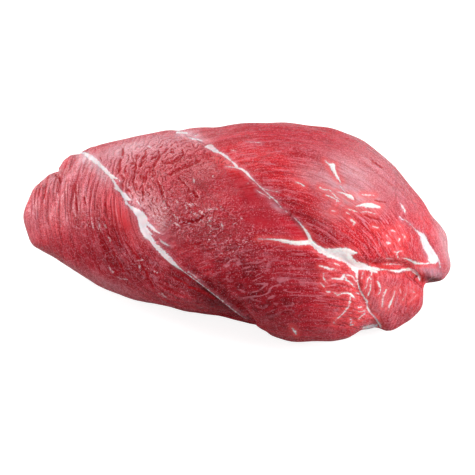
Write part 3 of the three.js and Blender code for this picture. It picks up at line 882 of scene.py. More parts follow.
# Each oval: across, down, half its width and height, its turn in degrees, and how strong it is.
TONES = {
    # pale bloom where the skin is still on, with painted sheen on it on the slab's top, the tail's top and
    # the round's right-hand side
    "bloom_and_sheen": [
        (125, 155, 38, 13, -18), (160, 145, 40, 12, -12), (345, 172, 40, 18, 20), (392, 182, 14, 44, -38),
        (352, 190, 30, 14, 30), (90, 172, 14, 26, -35), (72, 200, 24, 26, 0), (35, 215, 12, 20, 0),
        (443, 245, 8, 26, -20), (110, 285, 40, 6, 24), (385, 300, 26, 20, 0), (150, 215, 20, 34, -38),
        (60, 180, 20, 14, 0),
    ],
    "bright": [
        (124, 221, 10, 24, -35), (310, 205, 60, 12, 38), (270, 160, 54, 14, 14), (66, 162, 5, 12, 20),
        (232, 166, 26, 8, 40), (398, 290, 26, 22, 0), (345, 300, 24, 26, 0), (385, 240, 44, 20, 20),
        (192, 247, 2.4, 3.6, -10), (441, 272, 1.6, 2.6, 0), (438, 281, 3, 1.4, 0), (430, 225, 14, 20, -35),
    ],
    # painted shade: low on the front of the slab and tail, above the fat ribbon, beside the seams and under
    # the end
    "painted_shade": [
        (318, 222, 36, 9, 42), (205, 292, 56, 12, 34), (150, 270, 46, 12, 30), (262, 305, 50, 26, 20),
        (150, 240, 8, 20, -40, 0.4), (236, 262, 60, 22, 34), (110, 262, 40, 10, 24, 0.6),
        (428, 279, 8, 3, 10), (400, 262, 30, 3, 4), (170, 230, 16, 24, -36, 0.5),
        (246, 192, 26, 14, 40, 0.6), (200, 165, 12, 8, 0, 0.2),
    ],
    "wet": [
        (225, 235, 50, 30, 25), (180, 215, 26, 18, 0), (125, 262, 34, 14, 30, 0.6), (90, 222, 20, 14, 0),
    ],
    "crackled": [
        (130, 168, 34, 24, 0, 0.8), (170, 160, 40, 28, 0), (195, 175, 30, 24, 0), (150, 200, 24, 30, -36),
        (210, 150, 26, 12, 20), (205, 225, 26, 26, 0),
    ],
    "marbled": [
        (395, 298, 34, 34, 0), (335, 290, 22, 34, 0), (320, 262, 26, 16, 20), (395, 235, 44, 26, 20),
        (350, 200, 30, 18, 30), (270, 245, 26, 10, 0),
    ],
    "netted": [
        (275, 285, 46, 26, 20), (150, 270, 50, 18, 36, 0.6), (100, 262, 36, 12, 30, 0.6),
        (235, 270, 40, 14, 30),
    ],
    "grooved": [
        (62, 190, 34, 36, 0), (100, 200, 22, 40, -20), (120, 232, 24, 20, -40), (40, 205, 20, 34, 0),
    ],
    "streaked": [
        (262, 152, 60, 24, 12), (60, 195, 40, 50, 0), (120, 235, 40, 30, 30), (335, 290, 40, 36, 0),
        (310, 228, 40, 12, 40), (280, 245, 40, 12, 10), (155, 274, 60, 22, 32), (285, 290, 60, 26, 16, 0.5),
    ],
    # painted light where the side lights fall, on the tail and on the right-hand corner, round and end, over
    # the tail's own lighter red
    "light": [
        (96, 190, 24, 26, 0, 1.0), (40, 205, 24, 36, 0, 0.9), (68, 205, 24, 34, 0, 0.5),
        (122, 212, 14, 26, -35, 0.8), (110, 286, 60, 7, 22, 0.6), (398, 300, 30, 24, 0, 0.55),
        (395, 240, 30, 20, 0, 0.25), (345, 292, 24, 26, 0, 0.3),
    ],
    "lined": [
        (262, 152, 60, 22, 12), (285, 178, 44, 20, 25), (310, 225, 40, 16, 40), (335, 292, 26, 36, 0, 0.8),
        (398, 296, 30, 28, 0, 0.7), (395, 235, 44, 26, 20, 0.6), (140, 270, 60, 18, 34, 0.7),
        (265, 262, 60, 10, 20, 0.5),
    ],
    # thin pink skin near the tail's seam and on the end, and painted sheen on the round's right-hand side and
    # the slab's top rim
    "veil_and_sheen": [
        (86, 158, 8, 5, 35, 0.8), (97, 167, 9, 6, 42, 0.6), (106, 178, 6, 9, -30, 0.5),
        (345, 176, 26, 18, 30, 0.4), (356, 196, 22, 8, 10, 0.45), (368, 206, 18, 7, 5, 0.4),
        (336, 192, 18, 9, 30, 0.5), (184, 134, 14, 4, -10, 0.6), (200, 139, 14, 4, 10, 0.5),
        (310, 176, 16, 10, 20, 0.3), (120, 150, 34, 6, -16, 0.5), (446, 245, 6, 34, -14, 0.5),
        (332, 213, 14, 9, 20, 0.3),
    ],
    "smooth": [
        (250, 192, 24, 13, 40), (222, 163, 14, 6, 30), (240, 172, 14, 6, 40), (124, 218, 9, 24, -35),
        (262, 221, 18, 5, 10), (165, 236, 14, 6, 40), (300, 232, 16, 6, 40), (275, 300, 60, 26, 20, 0.55),
        (195, 256, 34, 9, 38, 0.5),
    ],
    "rosy": [(427, 270, 15, 5.4, 8), (437, 275.6, 7, 4, 0), (276, 207, 8, 2.6, 40)],
}
tones = {name: patches(spots) for name, spots in TONES.items()}
slow = cloud(points, 26, 21) * 0.5 + cloud(points, 11, 22) * 0.3
behind = 1 - seen
# On the back, tones follow slow noise: its sign, where the tone starts and is full, and how strong it gets.
BACK_TONES = {
    "bloom_and_sheen": (1, -0.1, 0.7, 0.8), "bright": (-1, 0.0, 0.7, 0.7), "wet": (1, 0.1, 0.6, 0.5),
    "marbled": (-1, 0.1, 0.6, 0.4),
}
for name, (sign, low, high, most) in BACK_TONES.items():
    tones[name] = np.clip(tones[name] + behind * ramp(sign * slow, low, high) * most, 0, 1)
back_wrinkles = behind * ramp(slow, -0.3, 0.3) * 0.7
tones["crackled"] = np.maximum(tones["crackled"], back_wrinkles) * is_slab
tones["grooved"] = tones["grooved"] * is_tail
LEAST_STREAKED = 0.35
tones["streaked"] = np.clip((LEAST_STREAKED + tones["streaked"]) * (1 - tones["crackled"]), 0, 1)
print("tones", {name: round(float(share.mean()), 3) for name, share in tones.items()})

# %% [markdown]
# ## Relief
# Now the mesh itself moves. Bundles of fibres stand up as long low ridges, the tail's old cut has opened
# into grooves, the seams are pinched in, folds lap over their neighbours, and the fat stands a little proud
# with a rounded edge. All of it is a distance along the normal at each corner. The deepest places are kept
# as one more mask, on which shade is painted.

# %% Ridges, grooves and pits
def valleys(values, sharpness):
    """1 where noise crosses zero and falling off steeply on both sides, which draws long thin lines."""
    return np.clip(1 - np.abs(values) * sharpness, 0, 1) ** 1.5


bundles = cloud(fibre, (44, 4.2, 20), 31) * 0.6 + cloud(fibre, (26, 2.4, 12), 32) * 0.4
grooved = is_tail * ramp(places[:, 1] + places[:, 0] * 0.3, 265, 228) * seen
grooves = valleys(cloud(fibre, (80, 4.6, 70), 33) + cloud(fibre, (30, 2.6, 40), 38) * 0.22, 3.6)
grooves *= ramp(cloud(fibre, (26, 6, 30), 39), -0.6, 0.2) * grooved
pits = cloud(points, 3.2, 36) * 0.6 + cloud(points, 1.9, 37) * 0.4
TAIL_RIDGES = 0.42
ROUND_RIDGES = 0.24
SLAB_RIDGES = 0.22
OTHER_RIDGES = 0.34
GROOVE_DEPTH = 0.5
GROOVE_SHADE = 0.12
PIT_DEPTH = 0.35
SWELL = 0.5
ridges = np.select([is_tail, is_round, is_slab], [TAIL_RIDGES, ROUND_RIDGES, SLAB_RIDGES], OTHER_RIDGES)
relief = bundles * ridges
relief -= grooves * GROOVE_DEPTH
relief += tones["wet"] * pits * PIT_DEPTH
relief += slow * SWELL
# painted shade in the tail's grooves
shade = grooves * GROOVE_SHADE
print("ridges and grooves from", round(float(relief.min()), 2), "to", round(float(relief.max()), 2), "mm")

# %% [markdown]
# ## Folds, seams and what stands proud
# A fold is a step: the meat on its right is lifted and rolls away, the meat on its left is lowered, and a
# groove runs between. Seams and creases are pinched in. Fat and silverskin stand a little proud. Shade is
# painted darkest under the lip of the slab, in the crevice above the tail, and in the gap under the end.

# %% Press in the folds and seams
# Each fold: the lift on its right and how far it reaches, the same on its left, and the depth of the groove.
FOLD_SHAPES = {
    "tail flap": (2.2, 12, -1.3, 6, 1.6),
    "tail groove 1": (0.9, 5, -0.5, 4, 1.2),
    "tail groove 2": (0.7, 4, -0.4, 4, 1.2),
    "tail groove 3": (0.6, 4, -0.3, 4, 1.2),
    "tail groove 4": (0.4, 5, -0.4, 4, 1.4),
    "tail groove 5": (0.4, 5, -0.5, 4, 1.4),
    "slab lip": (1.8, 9, -3.4, 12, 1.8),
    "slab fold": (0.5, 5, -0.7, 4, 1.5),
    "end slit": (0.8, 5, -2.2, 6, 1.6),
    "end lip": (-0.5, 4, 1.2, 7, 1.0),
    "corner crease": (0.5, 8, -0.3, 6, 0.1),
}
DARK_FOLDS = ("slab lip", "end slit")
DARK_FOLD_SHADE = 0.6
FOLD_EDGE = 1.6
FOLD_GROOVE_WIDTH = 1.5
FOLD_SHADE_WIDTH = 1.7
FOLD_SHADE = 0.15
for name, (right_lift, right_reach, left_lift, left_reach, groove) in FOLD_SHAPES.items():
    aside, strength = beside_fold(places, FOLDS[name])
    strength = strength * seen
    right_slope = right_lift * np.exp(-aside / right_reach)
    lift = np.where(aside > 0, right_slope, left_lift * np.exp(aside / left_reach))
    step = ramp(np.abs(aside), 0, FOLD_EDGE)
    relief += strength * (lift * step - groove * 0.5 * np.exp(-(aside / FOLD_GROOVE_WIDTH) ** 2))
    # painted shade along each fold's groove, darkest under the slab's lip and in the end's slit
    dark = DARK_FOLD_SHADE if name in DARK_FOLDS else FOLD_SHADE
    shade = np.maximum(shade, strength * groove * dark * np.exp(-(aside / FOLD_SHADE_WIDTH) ** 2))

TAIL_PINCH = 0.9
ROUND_PINCH = 0.7
CORNER_PINCH = 0.05
END_PINCH = 0.3
PINCH_WIDTH = 1.6
END_PINCH_WIDTH = 1.8
CREASE_DEPTH = 0.35
CREASE_RIM = 0.12
RIM_OFFSET = 2.2
RIM_WIDTH = 1.2
PROUD_REACH = 5
FAT_PROUD = 0.9
FILM_PROUD = 0.4
SETTLE_BELOW = 4
PINCHES = [
    (beside_tail, PINCH_WIDTH, TAIL_PINCH), (beside_round, PINCH_WIDTH, ROUND_PINCH),
    (beside_corner, PINCH_WIDTH, CORNER_PINCH), (beside_end, END_PINCH_WIDTH, END_PINCH),
]
bare = ramp(np.minimum(fat_edge, film_edge), 0.5, 3)
for edge, width, depth in PINCHES:
    relief -= depth * np.exp(-(edge / width) ** 2) * bare
relief -= CREASE_DEPTH * np.exp(-np.maximum(crease_edge, 0) ** 2)
relief += CREASE_RIM * np.exp(-((crease_edge - RIM_OFFSET) / RIM_WIDTH) ** 2)
relief += FAT_PROUD * np.sqrt(np.clip(-fat_edge / PROUD_REACH, 0, 1))
relief += FILM_PROUD * np.sqrt(np.clip(-film_edge / PROUD_REACH, 0, 1))
relief[underside] = 0
settle = ramp(points[:, 2], 0, SETTLE_BELOW)
points = points + normals * (relief * settle)[:, None]
points[:, 2] = np.maximum(points[:, 2], 0)
CREVICE_START = 158
CREVICE_FULL = 212
CREVICE_REACH = 12
# Painted shadow in the crevice above the tail under the slab's lip, lighter on the torn end, and in the gap
# under the end.
crevice_shade = is_tail * seen * ramp(places[:, 0], CREVICE_START, CREVICE_FULL)
crevice_shade *= np.exp(-(beside_tail / CREVICE_REACH) ** 2)
crevice_shade *= 0.85 + 0.5 * bundles
torn_end = patch(229, 307, 9, 3.4, 40, 0.6)
gap_shadow = patch(429, 278.6, 8, 3.6, 8) + patch(437, 280.6, 5, 2.2, 6)
tones["shade"] = np.clip(shade + crevice_shade * (1 - torn_end) + gap_shadow, 0, 1)
print("relief from", round(float(relief.min()), 2), "to", round(float(relief.max()), 2), "mm")

# %% [markdown]
# ## The piece
# The arrays become a mesh object. It replaces the plain solid, rides on the same body, and carries the
# distances, the tones and the fibre coordinates as attributes, which the material reads by name.

# %% Make the mesh object
mesh = bpy.data.meshes.new("beef")
mesh.from_pydata((points * MM).tolist(), [], triangles.tolist())
mesh.update()
mesh.shade_smooth()
edges = {"fat_edge": fat_edge, "film_edge": film_edge, "crease_edge": crease_edge, "painted_glint_edge": painted_glint_edge}
for name, values in {**edges, **tones}.items():
    mesh.attributes.new(name, "FLOAT", "POINT").data.foreach_set("value", values.astype(np.float32))
for name, values in {"fibre": fibre, "crack": crack}.items():
    flat = values.astype(np.float32).reshape(-1)
    mesh.attributes.new(name, "FLOAT_VECTOR", "POINT").data.foreach_set("vector", flat)
beef = bpy.data.objects.new("beef", mesh)
bpy.context.scene.collection.objects.link(beef)
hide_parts("beef_joint")
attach(beef, "root")
print("the piece has", len(mesh.polygons), "triangles")

# %% [markdown]
# ## Shader helpers
# Materials are built from nodes, and a few short helpers keep that readable: one to add a node and set its
# inputs, one for an attribute of the mesh, and one each for the sums, ramps, noises and mixes that come up
# again and again.

# %% Helpers for nodes
class Wiring:
    """Adds nodes to a tree and links them."""

    def __init__(self, tree):
        self.tree = tree

    def add(self, kind, inputs=None, **settings):
        """A new node, with its inputs set or linked."""
        node = self.tree.nodes.new(kind)
        for key, value in settings.items():
            setattr(node, key, value)
        for key, value in (inputs or {}).items():
            self.feed(node.inputs[key], value)
        return node

    def feed(self, socket, value):
        """Links a socket to another one, or sets its value."""
        if isinstance(value, bpy.types.NodeSocket):
            self.tree.links.new(value, socket)
        else:
            socket.default_value = value

    def attribute(self, name, output="Fac"):
        """A value that the mesh carries."""
        return self.add("ShaderNodeAttribute", attribute_name=name).outputs[output]

    def math(self, operation, *values):
        """The result of one step of arithmetic."""
        node = self.add("ShaderNodeMath", operation=operation)
        for socket, value in zip(node.inputs, values):
            self.feed(socket, value)
        return node.outputs[0]

    def times(self, *values):
        """The product of values and sockets."""
        result = values[0]
        for value in values[1:]:
            result = self.math("MULTIPLY", result, value)
        return result

    def plus(self, *values):
        """The sum of values and sockets."""
        result = values[0]
        for value in values[1:]:
            result = self.math("ADD", result, value)
        return result

    def span(self, value, low, high, least=0.0, most=1.0):
        """Rises smoothly from least to most while the value goes from low to high, which may fall instead."""
        inputs = {"Value": value, "From Min": low, "From Max": high, "To Min": least, "To Max": most}
        return self.add("ShaderNodeMapRange", inputs, interpolation_type="SMOOTHSTEP").outputs["Result"]

    def stretched(self, vector, scale):
        """Coordinates scaled by axis, so that noise read by them is long where the scale is small."""
        node = self.add("ShaderNodeVectorMath", operation="MULTIPLY")
        self.feed(node.inputs[0], vector)
        self.feed(node.inputs[1], scale)
        return node.outputs[0]

    def noise(self, vector, scale, detail=3.0, roughness=0.55, distortion=0.0):
        """Smooth noise between 0 and 1, mostly near the middle."""
        inputs = {"Vector": vector, "Scale": scale, "Detail": detail, "Roughness": roughness}
        return self.add("ShaderNodeTexNoise", {**inputs, "Distortion": distortion}).outputs["Fac"]

    def mix(self, share, low, high, blend="MIX"):
        """One colour going over into another."""
        node = self.add("ShaderNodeMix", data_type="RGBA", blend_type=blend)
        self.feed(node.inputs["Factor"], share)
        self.feed(node.inputs["A"], low)
        self.feed(node.inputs["B"], high)
        return node.outputs["Result"]

    def between(self, share, low, high):
        """One number going over into another."""
        node = self.add("ShaderNodeMix", data_type="FLOAT")
        self.feed(node.inputs["Factor"], share)
        self.feed(node.inputs["A"], low)
        self.feed(node.inputs["B"], high)
        return node.outputs["Result"]

    def place(self, group, **values):
        """A node group with its inputs set, as outputs by name."""
        node = self.add("ShaderNodeGroup", node_tree=group)
        for key, value in values.items():
            self.feed(node.inputs[key.replace("_", " ")], value)
        return node.outputs


def new_group(name, inputs, outputs):
    """An empty node group with named inputs and outputs, its wiring helper and its two end nodes."""
    group = bpy.data.node_groups.new(name, "ShaderNodeTree")
    for label, kind in inputs.items():
        group.interface.new_socket(label, in_out="INPUT", socket_type=kind)
    for label in outputs:
        group.interface.new_socket(label, in_out="OUTPUT", socket_type="NodeSocketFloat")
    wiring = Wiring(group)
    return group, wiring, wiring.add("NodeGroupInput").outputs, wiring.add("NodeGroupOutput").inputs


FLOAT, VECTOR = "NodeSocketFloat", "NodeSocketVector"

# %% [markdown]
# ## Strands
# Lean meat is bundles of fibres. Noise that is long along the fibre and fine across it gives strands; two
# sizes of it together give bundles made of strands. The group puts out a shade for the colour and a height
# for the bump.

# %% The strands group
given_names = {"Fibre": VECTOR, "Bundle": FLOAT, "Strand": FLOAT}
strands, w, given, out = new_group("Muscle strands", given_names, ["Shade", "Height"])
bundle = w.noise(w.stretched(given["Fibre"], (0.07, 1.0, 0.22)), given["Bundle"], detail=1.0, distortion=0.3)
strand = w.noise(w.stretched(given["Fibre"], (0.10, 1.0, 0.26)), given["Strand"], detail=1.0, roughness=0.6)
w.feed(out["Shade"], w.plus(w.times(bundle, 0.5), w.times(strand, 0.5)))
w.feed(out["Height"], w.plus(w.times(bundle, 0.75), w.times(strand, 0.25)))
print("made", strands.name)

# %% [markdown]
# ## Wrinkles
# The slab's thin skin has dried and wrinkled like old bark, and the tail's cut has opened into grooves.
# Both are rows of lines that run side by side, wander, and start and stop. A sine wave across the fibre
# gives the rows, noise added to it makes them wander, and a second noise breaks them up.

# %% The wrinkles group
given_names = {"Vector": VECTOR, "Pitch": FLOAT, "Wander": FLOAT, "Size": FLOAT, "Least": FLOAT}
wrinkles, w, given, out = new_group("Wrinkles", given_names, ["Line", "Highlight ridge", "Height"])
across = w.add("ShaderNodeSeparateXYZ", {"Vector": given["Vector"]}).outputs["Y"]
drift = w.noise(given["Vector"], given["Size"], detail=1.0)
turns = w.plus(w.math("DIVIDE", across, given["Pitch"]), w.times(drift, given["Wander"]))
wave = w.math("SINE", w.times(turns, 2 * math.pi))
broken = w.noise(given["Vector"], w.times(given["Size"], 2.2), detail=1.0)
broken = w.span(broken, given["Least"], w.plus(given["Least"], 0.12))
w.feed(out["Line"], w.times(w.span(wave, 0.40, 0.90), broken))
# A wave a little behind marks the ridge beside each line, for a painted highlight.
lagging = w.math("SINE", w.times(w.plus(turns, 0.22), 2 * math.pi))
w.feed(out["Highlight ridge"], w.times(w.span(lagging, 0.55, 0.95), broken))
w.feed(out["Height"], w.times(w.span(wave, -0.6, 1.0), broken, -1.0))
print("made", wrinkles.name)

# %% [markdown]
# ## Flecks
# Marbling, light lines along the fibre and painted wet glints are all pale dashes that follow the fibre.
# One group makes them: it keeps only the crests of a stretched noise, and gives its hollows as dark dashes
# too. How long, how fine and how many they are is set from outside.

# %% The flecks group
given_names = {"Fibre": VECTOR, "Scale": FLOAT, "Least": FLOAT, "Soft": FLOAT}
flecks, w, given, out = new_group("Flecks", given_names, ["Mask", "Hollow"])
crest = w.noise(given["Fibre"], given["Scale"], detail=2.0, roughness=0.5, distortion=0.4)
w.feed(out["Mask"], w.span(crest, given["Least"], w.plus(given["Least"], given["Soft"])))
hollow = w.math("SUBTRACT", 1.0, crest)
w.feed(out["Hollow"], w.span(hollow, given["Least"], w.plus(given["Least"], given["Soft"])))
print("made", flecks.name)

# %% [markdown]
# ## Lean, fat and silverskin in one material
# The three finishes run into each other, so they are one material that mixes by the masks. Lean is a deep
# red that light enters a little way, with a wet coat. Fat is nearly white. Silverskin is a thin bluish film
# over the lean. Roughness varies with a noise.

# %% Colours of the meat
LEAN = (0.60, 0.024, 0.044, 1)
LEAN_STRAND = (0.38, 0.004, 0.012, 1)
# The darkest red, for painted shade and the dark clots in it.
LEAN_SHADOW = (0.07, 0.001, 0.003, 1)
LEAN_BRIGHT = (0.76, 0.022, 0.030, 1)
# A pale pink bloom, also used as painted sheen.
LEAN_BLOOM_AND_SHEEN = (0.66, 0.28, 0.345, 1)
# Painted light on the lean, over the tail's own lighter red.
LEAN_PAINTED_LIGHT = (0.92, 0.13, 0.155, 1)
# Painted shade in the creases and in the wrinkles' lines.
CREASE_SHADE = (0.38, 0.004, 0.010, 1)
# Thin pink skin, also used as painted sheen.
VEIL_AND_SHEEN = (0.80, 0.50, 0.55, 1)
LEAN_ROSY = (0.60, 0.27, 0.33, 1)
# A purple tint that is multiplied in where shade is painted.
SHADED = (0.62, 0.42, 0.48, 1)
# Pale marks of the meat itself, and painted highlights on ridges.
PALE_AND_HIGHLIGHT = (0.78, 0.25, 0.31, 1)
EMBER = (0.85, 0.085, 0.085, 1)
FAT_COLOUR = (0.93, 0.88, 0.88, 1)
FAT_WARM = (0.90, 0.77, 0.77, 1)
FILM_COLOUR = (0.84, 0.74, 0.77, 1)
# Painted highlight of the wet glints.
PAINTED_GLINT = (0.95, 0.76, 0.80, 1)

# %% Masks and noises of the meat
NOISE_MIDDLE = 0.52
SHADE_MIDDLE = 0.53
CALM = 0.7
meat = bpy.data.materials.new("raw beef")
meat.use_nodes = True
meat.node_tree.nodes.clear()
w = Wiring(meat.node_tree)
fibre_at = w.attribute("fibre", "Vector")
place = w.add("ShaderNodeTexCoord").outputs["Object"]
crackled = w.attribute("crackled")
grooved = w.attribute("grooved")
lined = w.attribute("lined")
marbled = w.attribute("marbled")
smooth = w.attribute("smooth")
strand_out = w.place(strands, Fibre=fibre_at, Bundle=0.34, Strand=0.95)
streaked = w.times(w.attribute("streaked"), w.math("SUBTRACT", 1.0, smooth))
shade = w.between(streaked, SHADE_MIDDLE, strand_out["Shade"])
calm = w.times(smooth, CALM)
mottle = w.noise(place, 75, detail=2.0, roughness=0.6)
clump = w.noise(place, 130, detail=1.0)
crumb = w.between(calm, w.noise(place, 620, detail=1.0, roughness=0.6, distortion=0.4), NOISE_MIDDLE)
grain = w.between(calm, w.noise(place, 1100, detail=1.0), NOISE_MIDDLE)
uneven = w.math("SUBTRACT", crumb, 0.5)
print("noises for", meat.name)

# %% [markdown]
# ## The lean's colour, with painted light and shade
# The lean starts as dark and light strands. Each tone then tints it, more on the light strands than on the
# dark ones, so that the strands still show: painted light, bright red, and pale bloom with painted sheen.
# Slow mottling, painted shade low down with dark clots in it, and a fine grain come last.

# %% The lean
def paint(colour, tint, *masks, most=1.0):
    """The colour with a tint laid over it where all the masks are, nowhere stronger than most."""
    return w.mix(w.times(*masks, most), colour, tint)


# Each tone: its tint, the shades of strand where it starts and is full, and its least and greatest share.
STRAND_TONES = {
    # painted light, over the tail's own lighter red
    "light": (LEAN_PAINTED_LIGHT, 0.40, 0.56, 0.35, 1.0),
    "bright": (LEAN_BRIGHT, 0.40, 0.54, 0.4, 0.9),
    # pale bloom with painted sheen
    "bloom_and_sheen": (LEAN_BLOOM_AND_SHEEN, 0.42, 0.58, 0.1, 0.55),
}
colour = w.mix(w.span(shade, 0.42, 0.58), LEAN_STRAND, LEAN)
for tone, (tint, dark, bright, least, most) in STRAND_TONES.items():
    colour = paint(colour, tint, w.attribute(tone), w.span(shade, dark, bright, least, most))
colour = paint(colour, LEAN_BLOOM_AND_SHEEN, w.span(mottle, 0.50, 0.66), most=0.07)
# Painted shade low down and in the hollows: the lean is darkened and tinted purple there, with dark clots in
# it.
painted_shade = w.attribute("painted_shade")
colour = w.mix(w.times(painted_shade, w.span(mottle, 0.3, 0.6, least=1.0, most=0.7)), colour, SHADED, "MULTIPLY")
colour = paint(colour, LEAN_SHADOW, painted_shade, w.span(clump, 0.50, 0.42), most=0.45)
colour = paint(colour, LEAN_STRAND, w.span(grain, 0.50, 0.40), most=0.6)
colour = paint(colour, PALE_AND_HIGHLIGHT, w.span(grain, 0.56, 0.66), most=0.6)
colour = paint(colour, LEAN_ROSY, w.attribute("rosy"), most=0.9)
print("the lean has", len(STRAND_TONES), "tones on its strands")

# %% [markdown]
# ## Wrinkles, grooves and nets
# On top of that colour come the lines: wrinkles where the slab's skin dried and grooves in the tail, both
# dark with painted shade, a pale net of threads low on the slab, and long light and dark lines along the
# fibre. The ridge beside each wrinkle and each groove gets a painted highlight.

# %% Wrinkles, grooves and nets
crack_at = w.stretched(w.attribute("crack", "Vector"), (0.45, 1.0, 0.15))
crack_out = w.place(wrinkles, Vector=crack_at, Pitch=3.6, Wander=3.4, Size=0.14, Least=0.40)
# painted highlight on the ridge beside each wrinkle
colour = paint(colour, PALE_AND_HIGHLIGHT, crack_out["Highlight ridge"], crackled, most=0.22)
# painted shade in the lines of the wrinkles
colour = paint(colour, CREASE_SHADE, crack_out["Line"], crackled, most=0.95)

groove_at = w.stretched(fibre_at, (0.12, 1.0, 0.15))
groove_out = w.place(wrinkles, Vector=groove_at, Pitch=3.6, Wander=2.5, Size=0.12, Least=0.42)
# painted highlight on the ridge beside each groove, and painted shade in the groove's line
colour = paint(colour, PALE_AND_HIGHLIGHT, groove_out["Highlight ridge"], grooved, most=0.25)
colour = paint(colour, LEAN_STRAND, groove_out["Line"], grooved, most=0.60)

net_at = w.stretched(fibre_at, (0.7, 1.0, 0.6))
net_out = w.place(wrinkles, Vector=net_at, Pitch=8.0, Wander=5.0, Size=0.10, Least=0.43)
colour = paint(colour, PALE_AND_HIGHLIGHT, net_out["Line"], w.attribute("netted"), most=0.6)

line_at = w.stretched(fibre_at, (0.05, 1.0, 0.6))
line_out = w.place(flecks, Fibre=line_at, Scale=0.46, Least=0.53, Soft=0.10)
colour = paint(colour, PALE_AND_HIGHLIGHT, line_out["Mask"], lined, most=0.38)
colour = paint(colour, LEAN_STRAND, line_out["Hollow"], lined, most=0.45)
print("laid on wrinkles, grooves, a net and lines")

# %% [markdown]
# ## Marbling, veils, painted shade and creases
# Near the fat the lean is marbled: pale dashes and dark streaks that follow the fibre. Thin skin veils some
# parts in pink, and painted sheen lies on others. Then come the painted shade of the folds and the creases
# laid down as strokes, darkened with painted shade, with edges made uneven by noise.

# %% Marbling, veils, shade and creases
marbling_at = w.stretched(fibre_at, (0.16, 1.0, 1.0))
marbling = w.place(flecks, Fibre=marbling_at, Scale=0.55, Least=0.54, Soft=0.09)["Mask"]
marbling = w.times(marbling, marbled)
streak_at = w.stretched(fibre_at, (0.14, 1.0, 1.0))
streak = w.place(flecks, Fibre=streak_at, Scale=0.50, Least=0.55, Soft=0.07)["Mask"]
colour = paint(colour, LEAN_STRAND, streak, marbled, most=0.6)
colour = paint(colour, PALE_AND_HIGHLIGHT, marbling, most=0.85)
# thin pink skin and painted sheen
colour = paint(colour, VEIL_AND_SHEEN, w.attribute("veil_and_sheen"), w.span(shade, 0.38, 0.60, 0.45, 1.0))
# painted shade of the folds, the crevice and the gap
colour = paint(colour, LEAN_SHADOW, w.attribute("shade"), most=0.8)
# painted shade along the creases, made uneven by noise
crease = w.span(w.plus(w.attribute("crease_edge"), w.times(uneven, 2.0)), 1.0, -0.2)
colour = paint(colour, CREASE_SHADE, crease, most=0.92)
print("laid on marbling, veils, shade and creases")

# %% [markdown]
# ## Wet crumbs and painted glints
# Where the slab's face is torn it is wet and crumbly, with dark pits between pale crumbs. The smallest
# crumbs get tiny painted glints, more of them where it is wet. The painted glint strokes join them.

# %% Wet crumbs and glints
crumbly = w.times(w.attribute("wet"), w.span(clump, 0.40, 0.54))
colour = paint(colour, LEAN_STRAND, w.span(crumb, 0.49, 0.41), crumbly, most=0.8)
colour = paint(colour, PALE_AND_HIGHLIGHT, w.span(crumb, 0.55, 0.62), w.span(crumbly, 0.0, 1.0, 0.10, 0.7))
# Painted glints: crests of fine noise, more of them where it is wet, joined by the strokes.
glint_at = w.stretched(fibre_at, (0.6, 1.0, 1.0))
glint_least = w.span(crumbly, 0.0, 1.0, 0.75, 0.64)
painted_glints = w.place(flecks, Fibre=glint_at, Scale=0.95, Least=glint_least, Soft=0.05)["Mask"]
laid_painted_glints = w.span(w.plus(w.attribute("painted_glint_edge"), w.times(uneven, 5.0)), 0.4, -0.6, most=0.7)
painted_glints = w.math("MAXIMUM", painted_glints, laid_painted_glints)
colour = paint(colour, PAINTED_GLINT, painted_glints, most=0.8)
print("laid on crumbs and glints")

# %% [markdown]
# ## Silverskin and fat over the lean
# The distances on the mesh become edges here. Noise along the fibre frays them. A wide soft share of the
# same distance lets the fat shine through the lean beside it, first as a red glow and then as a pale rim,
# and the film stays thin enough for some red to show.

# %% Silverskin and fat
fray = w.plus(w.times(w.math("SUBTRACT", shade, 0.5), 3.5), w.times(uneven, 2.5), 0.2)
fat_edge_at = w.plus(w.attribute("fat_edge"), fray)
film_edge_at = w.plus(w.attribute("film_edge"), fray)
colour = paint(colour, EMBER, w.span(fat_edge_at, 7.0, 0.0), most=0.6)
colour = paint(colour, PALE_AND_HIGHLIGHT, w.span(fat_edge_at, 2.2, 0.0), most=0.4)
colour = paint(colour, LEAN_BLOOM_AND_SHEEN, w.span(film_edge_at, 4.0, 0.0), most=0.30)
film = w.span(film_edge_at, 0.5, -0.6)
film = w.times(film, w.span(mottle, 0.2, 0.6, 0.85, 1.0), w.span(shade, 0.42, 0.50, 0.8, 1.0))
colour = w.mix(film, colour, FILM_COLOUR)
fat = w.span(fat_edge_at, 0.6, -0.5)
colour = w.mix(fat, colour, w.mix(w.span(crumb, 0.38, 0.55), FAT_WARM, FAT_COLOUR))
print("laid on silverskin and fat")

# %% [markdown]
# ## Bump, gloss and the shader
# All the heights are in millimetres, so they can be compared. White parts are smoother than the lean, so
# the lean's relief stops under them. The coat is the haze of dried skin, so it is cut out in wrinkles and
# creases. The numbers that are the same everywhere sit on the shader itself.

# %% The meat shader
GRAIN_HEIGHT = 0.3
CRACK_HEIGHT = 1.1
GROOVE_HEIGHT = 0.8
SPECK_HEIGHT = 0.15
WHITE_LUMPS = 1.2
WHITE_HEIGHT = 0.25
lean_height = w.plus(
    w.times(strand_out["Height"], w.between(crackled, 2.6, 0.8), w.between(smooth, 1.0, 0.4)),
    w.times(grain, GRAIN_HEIGHT),
    w.times(crumb, w.span(crumbly, 0.0, 1.0, 0.5, 2.2)),
    w.times(crack_out["Height"], crackled, CRACK_HEIGHT),
    w.times(groove_out["Height"], grooved, GROOVE_HEIGHT),
    w.times(marbling, SPECK_HEIGHT),
    w.times(painted_glints, SPECK_HEIGHT),
)
white = w.math("MAXIMUM", fat, film)
height = w.plus(w.between(white, lean_height, w.times(mottle, WHITE_LUMPS)), w.times(white, WHITE_HEIGHT))
bump = w.add("ShaderNodeBump", {"Height": height, "Strength": 1.0, "Distance": MM}).outputs["Normal"]
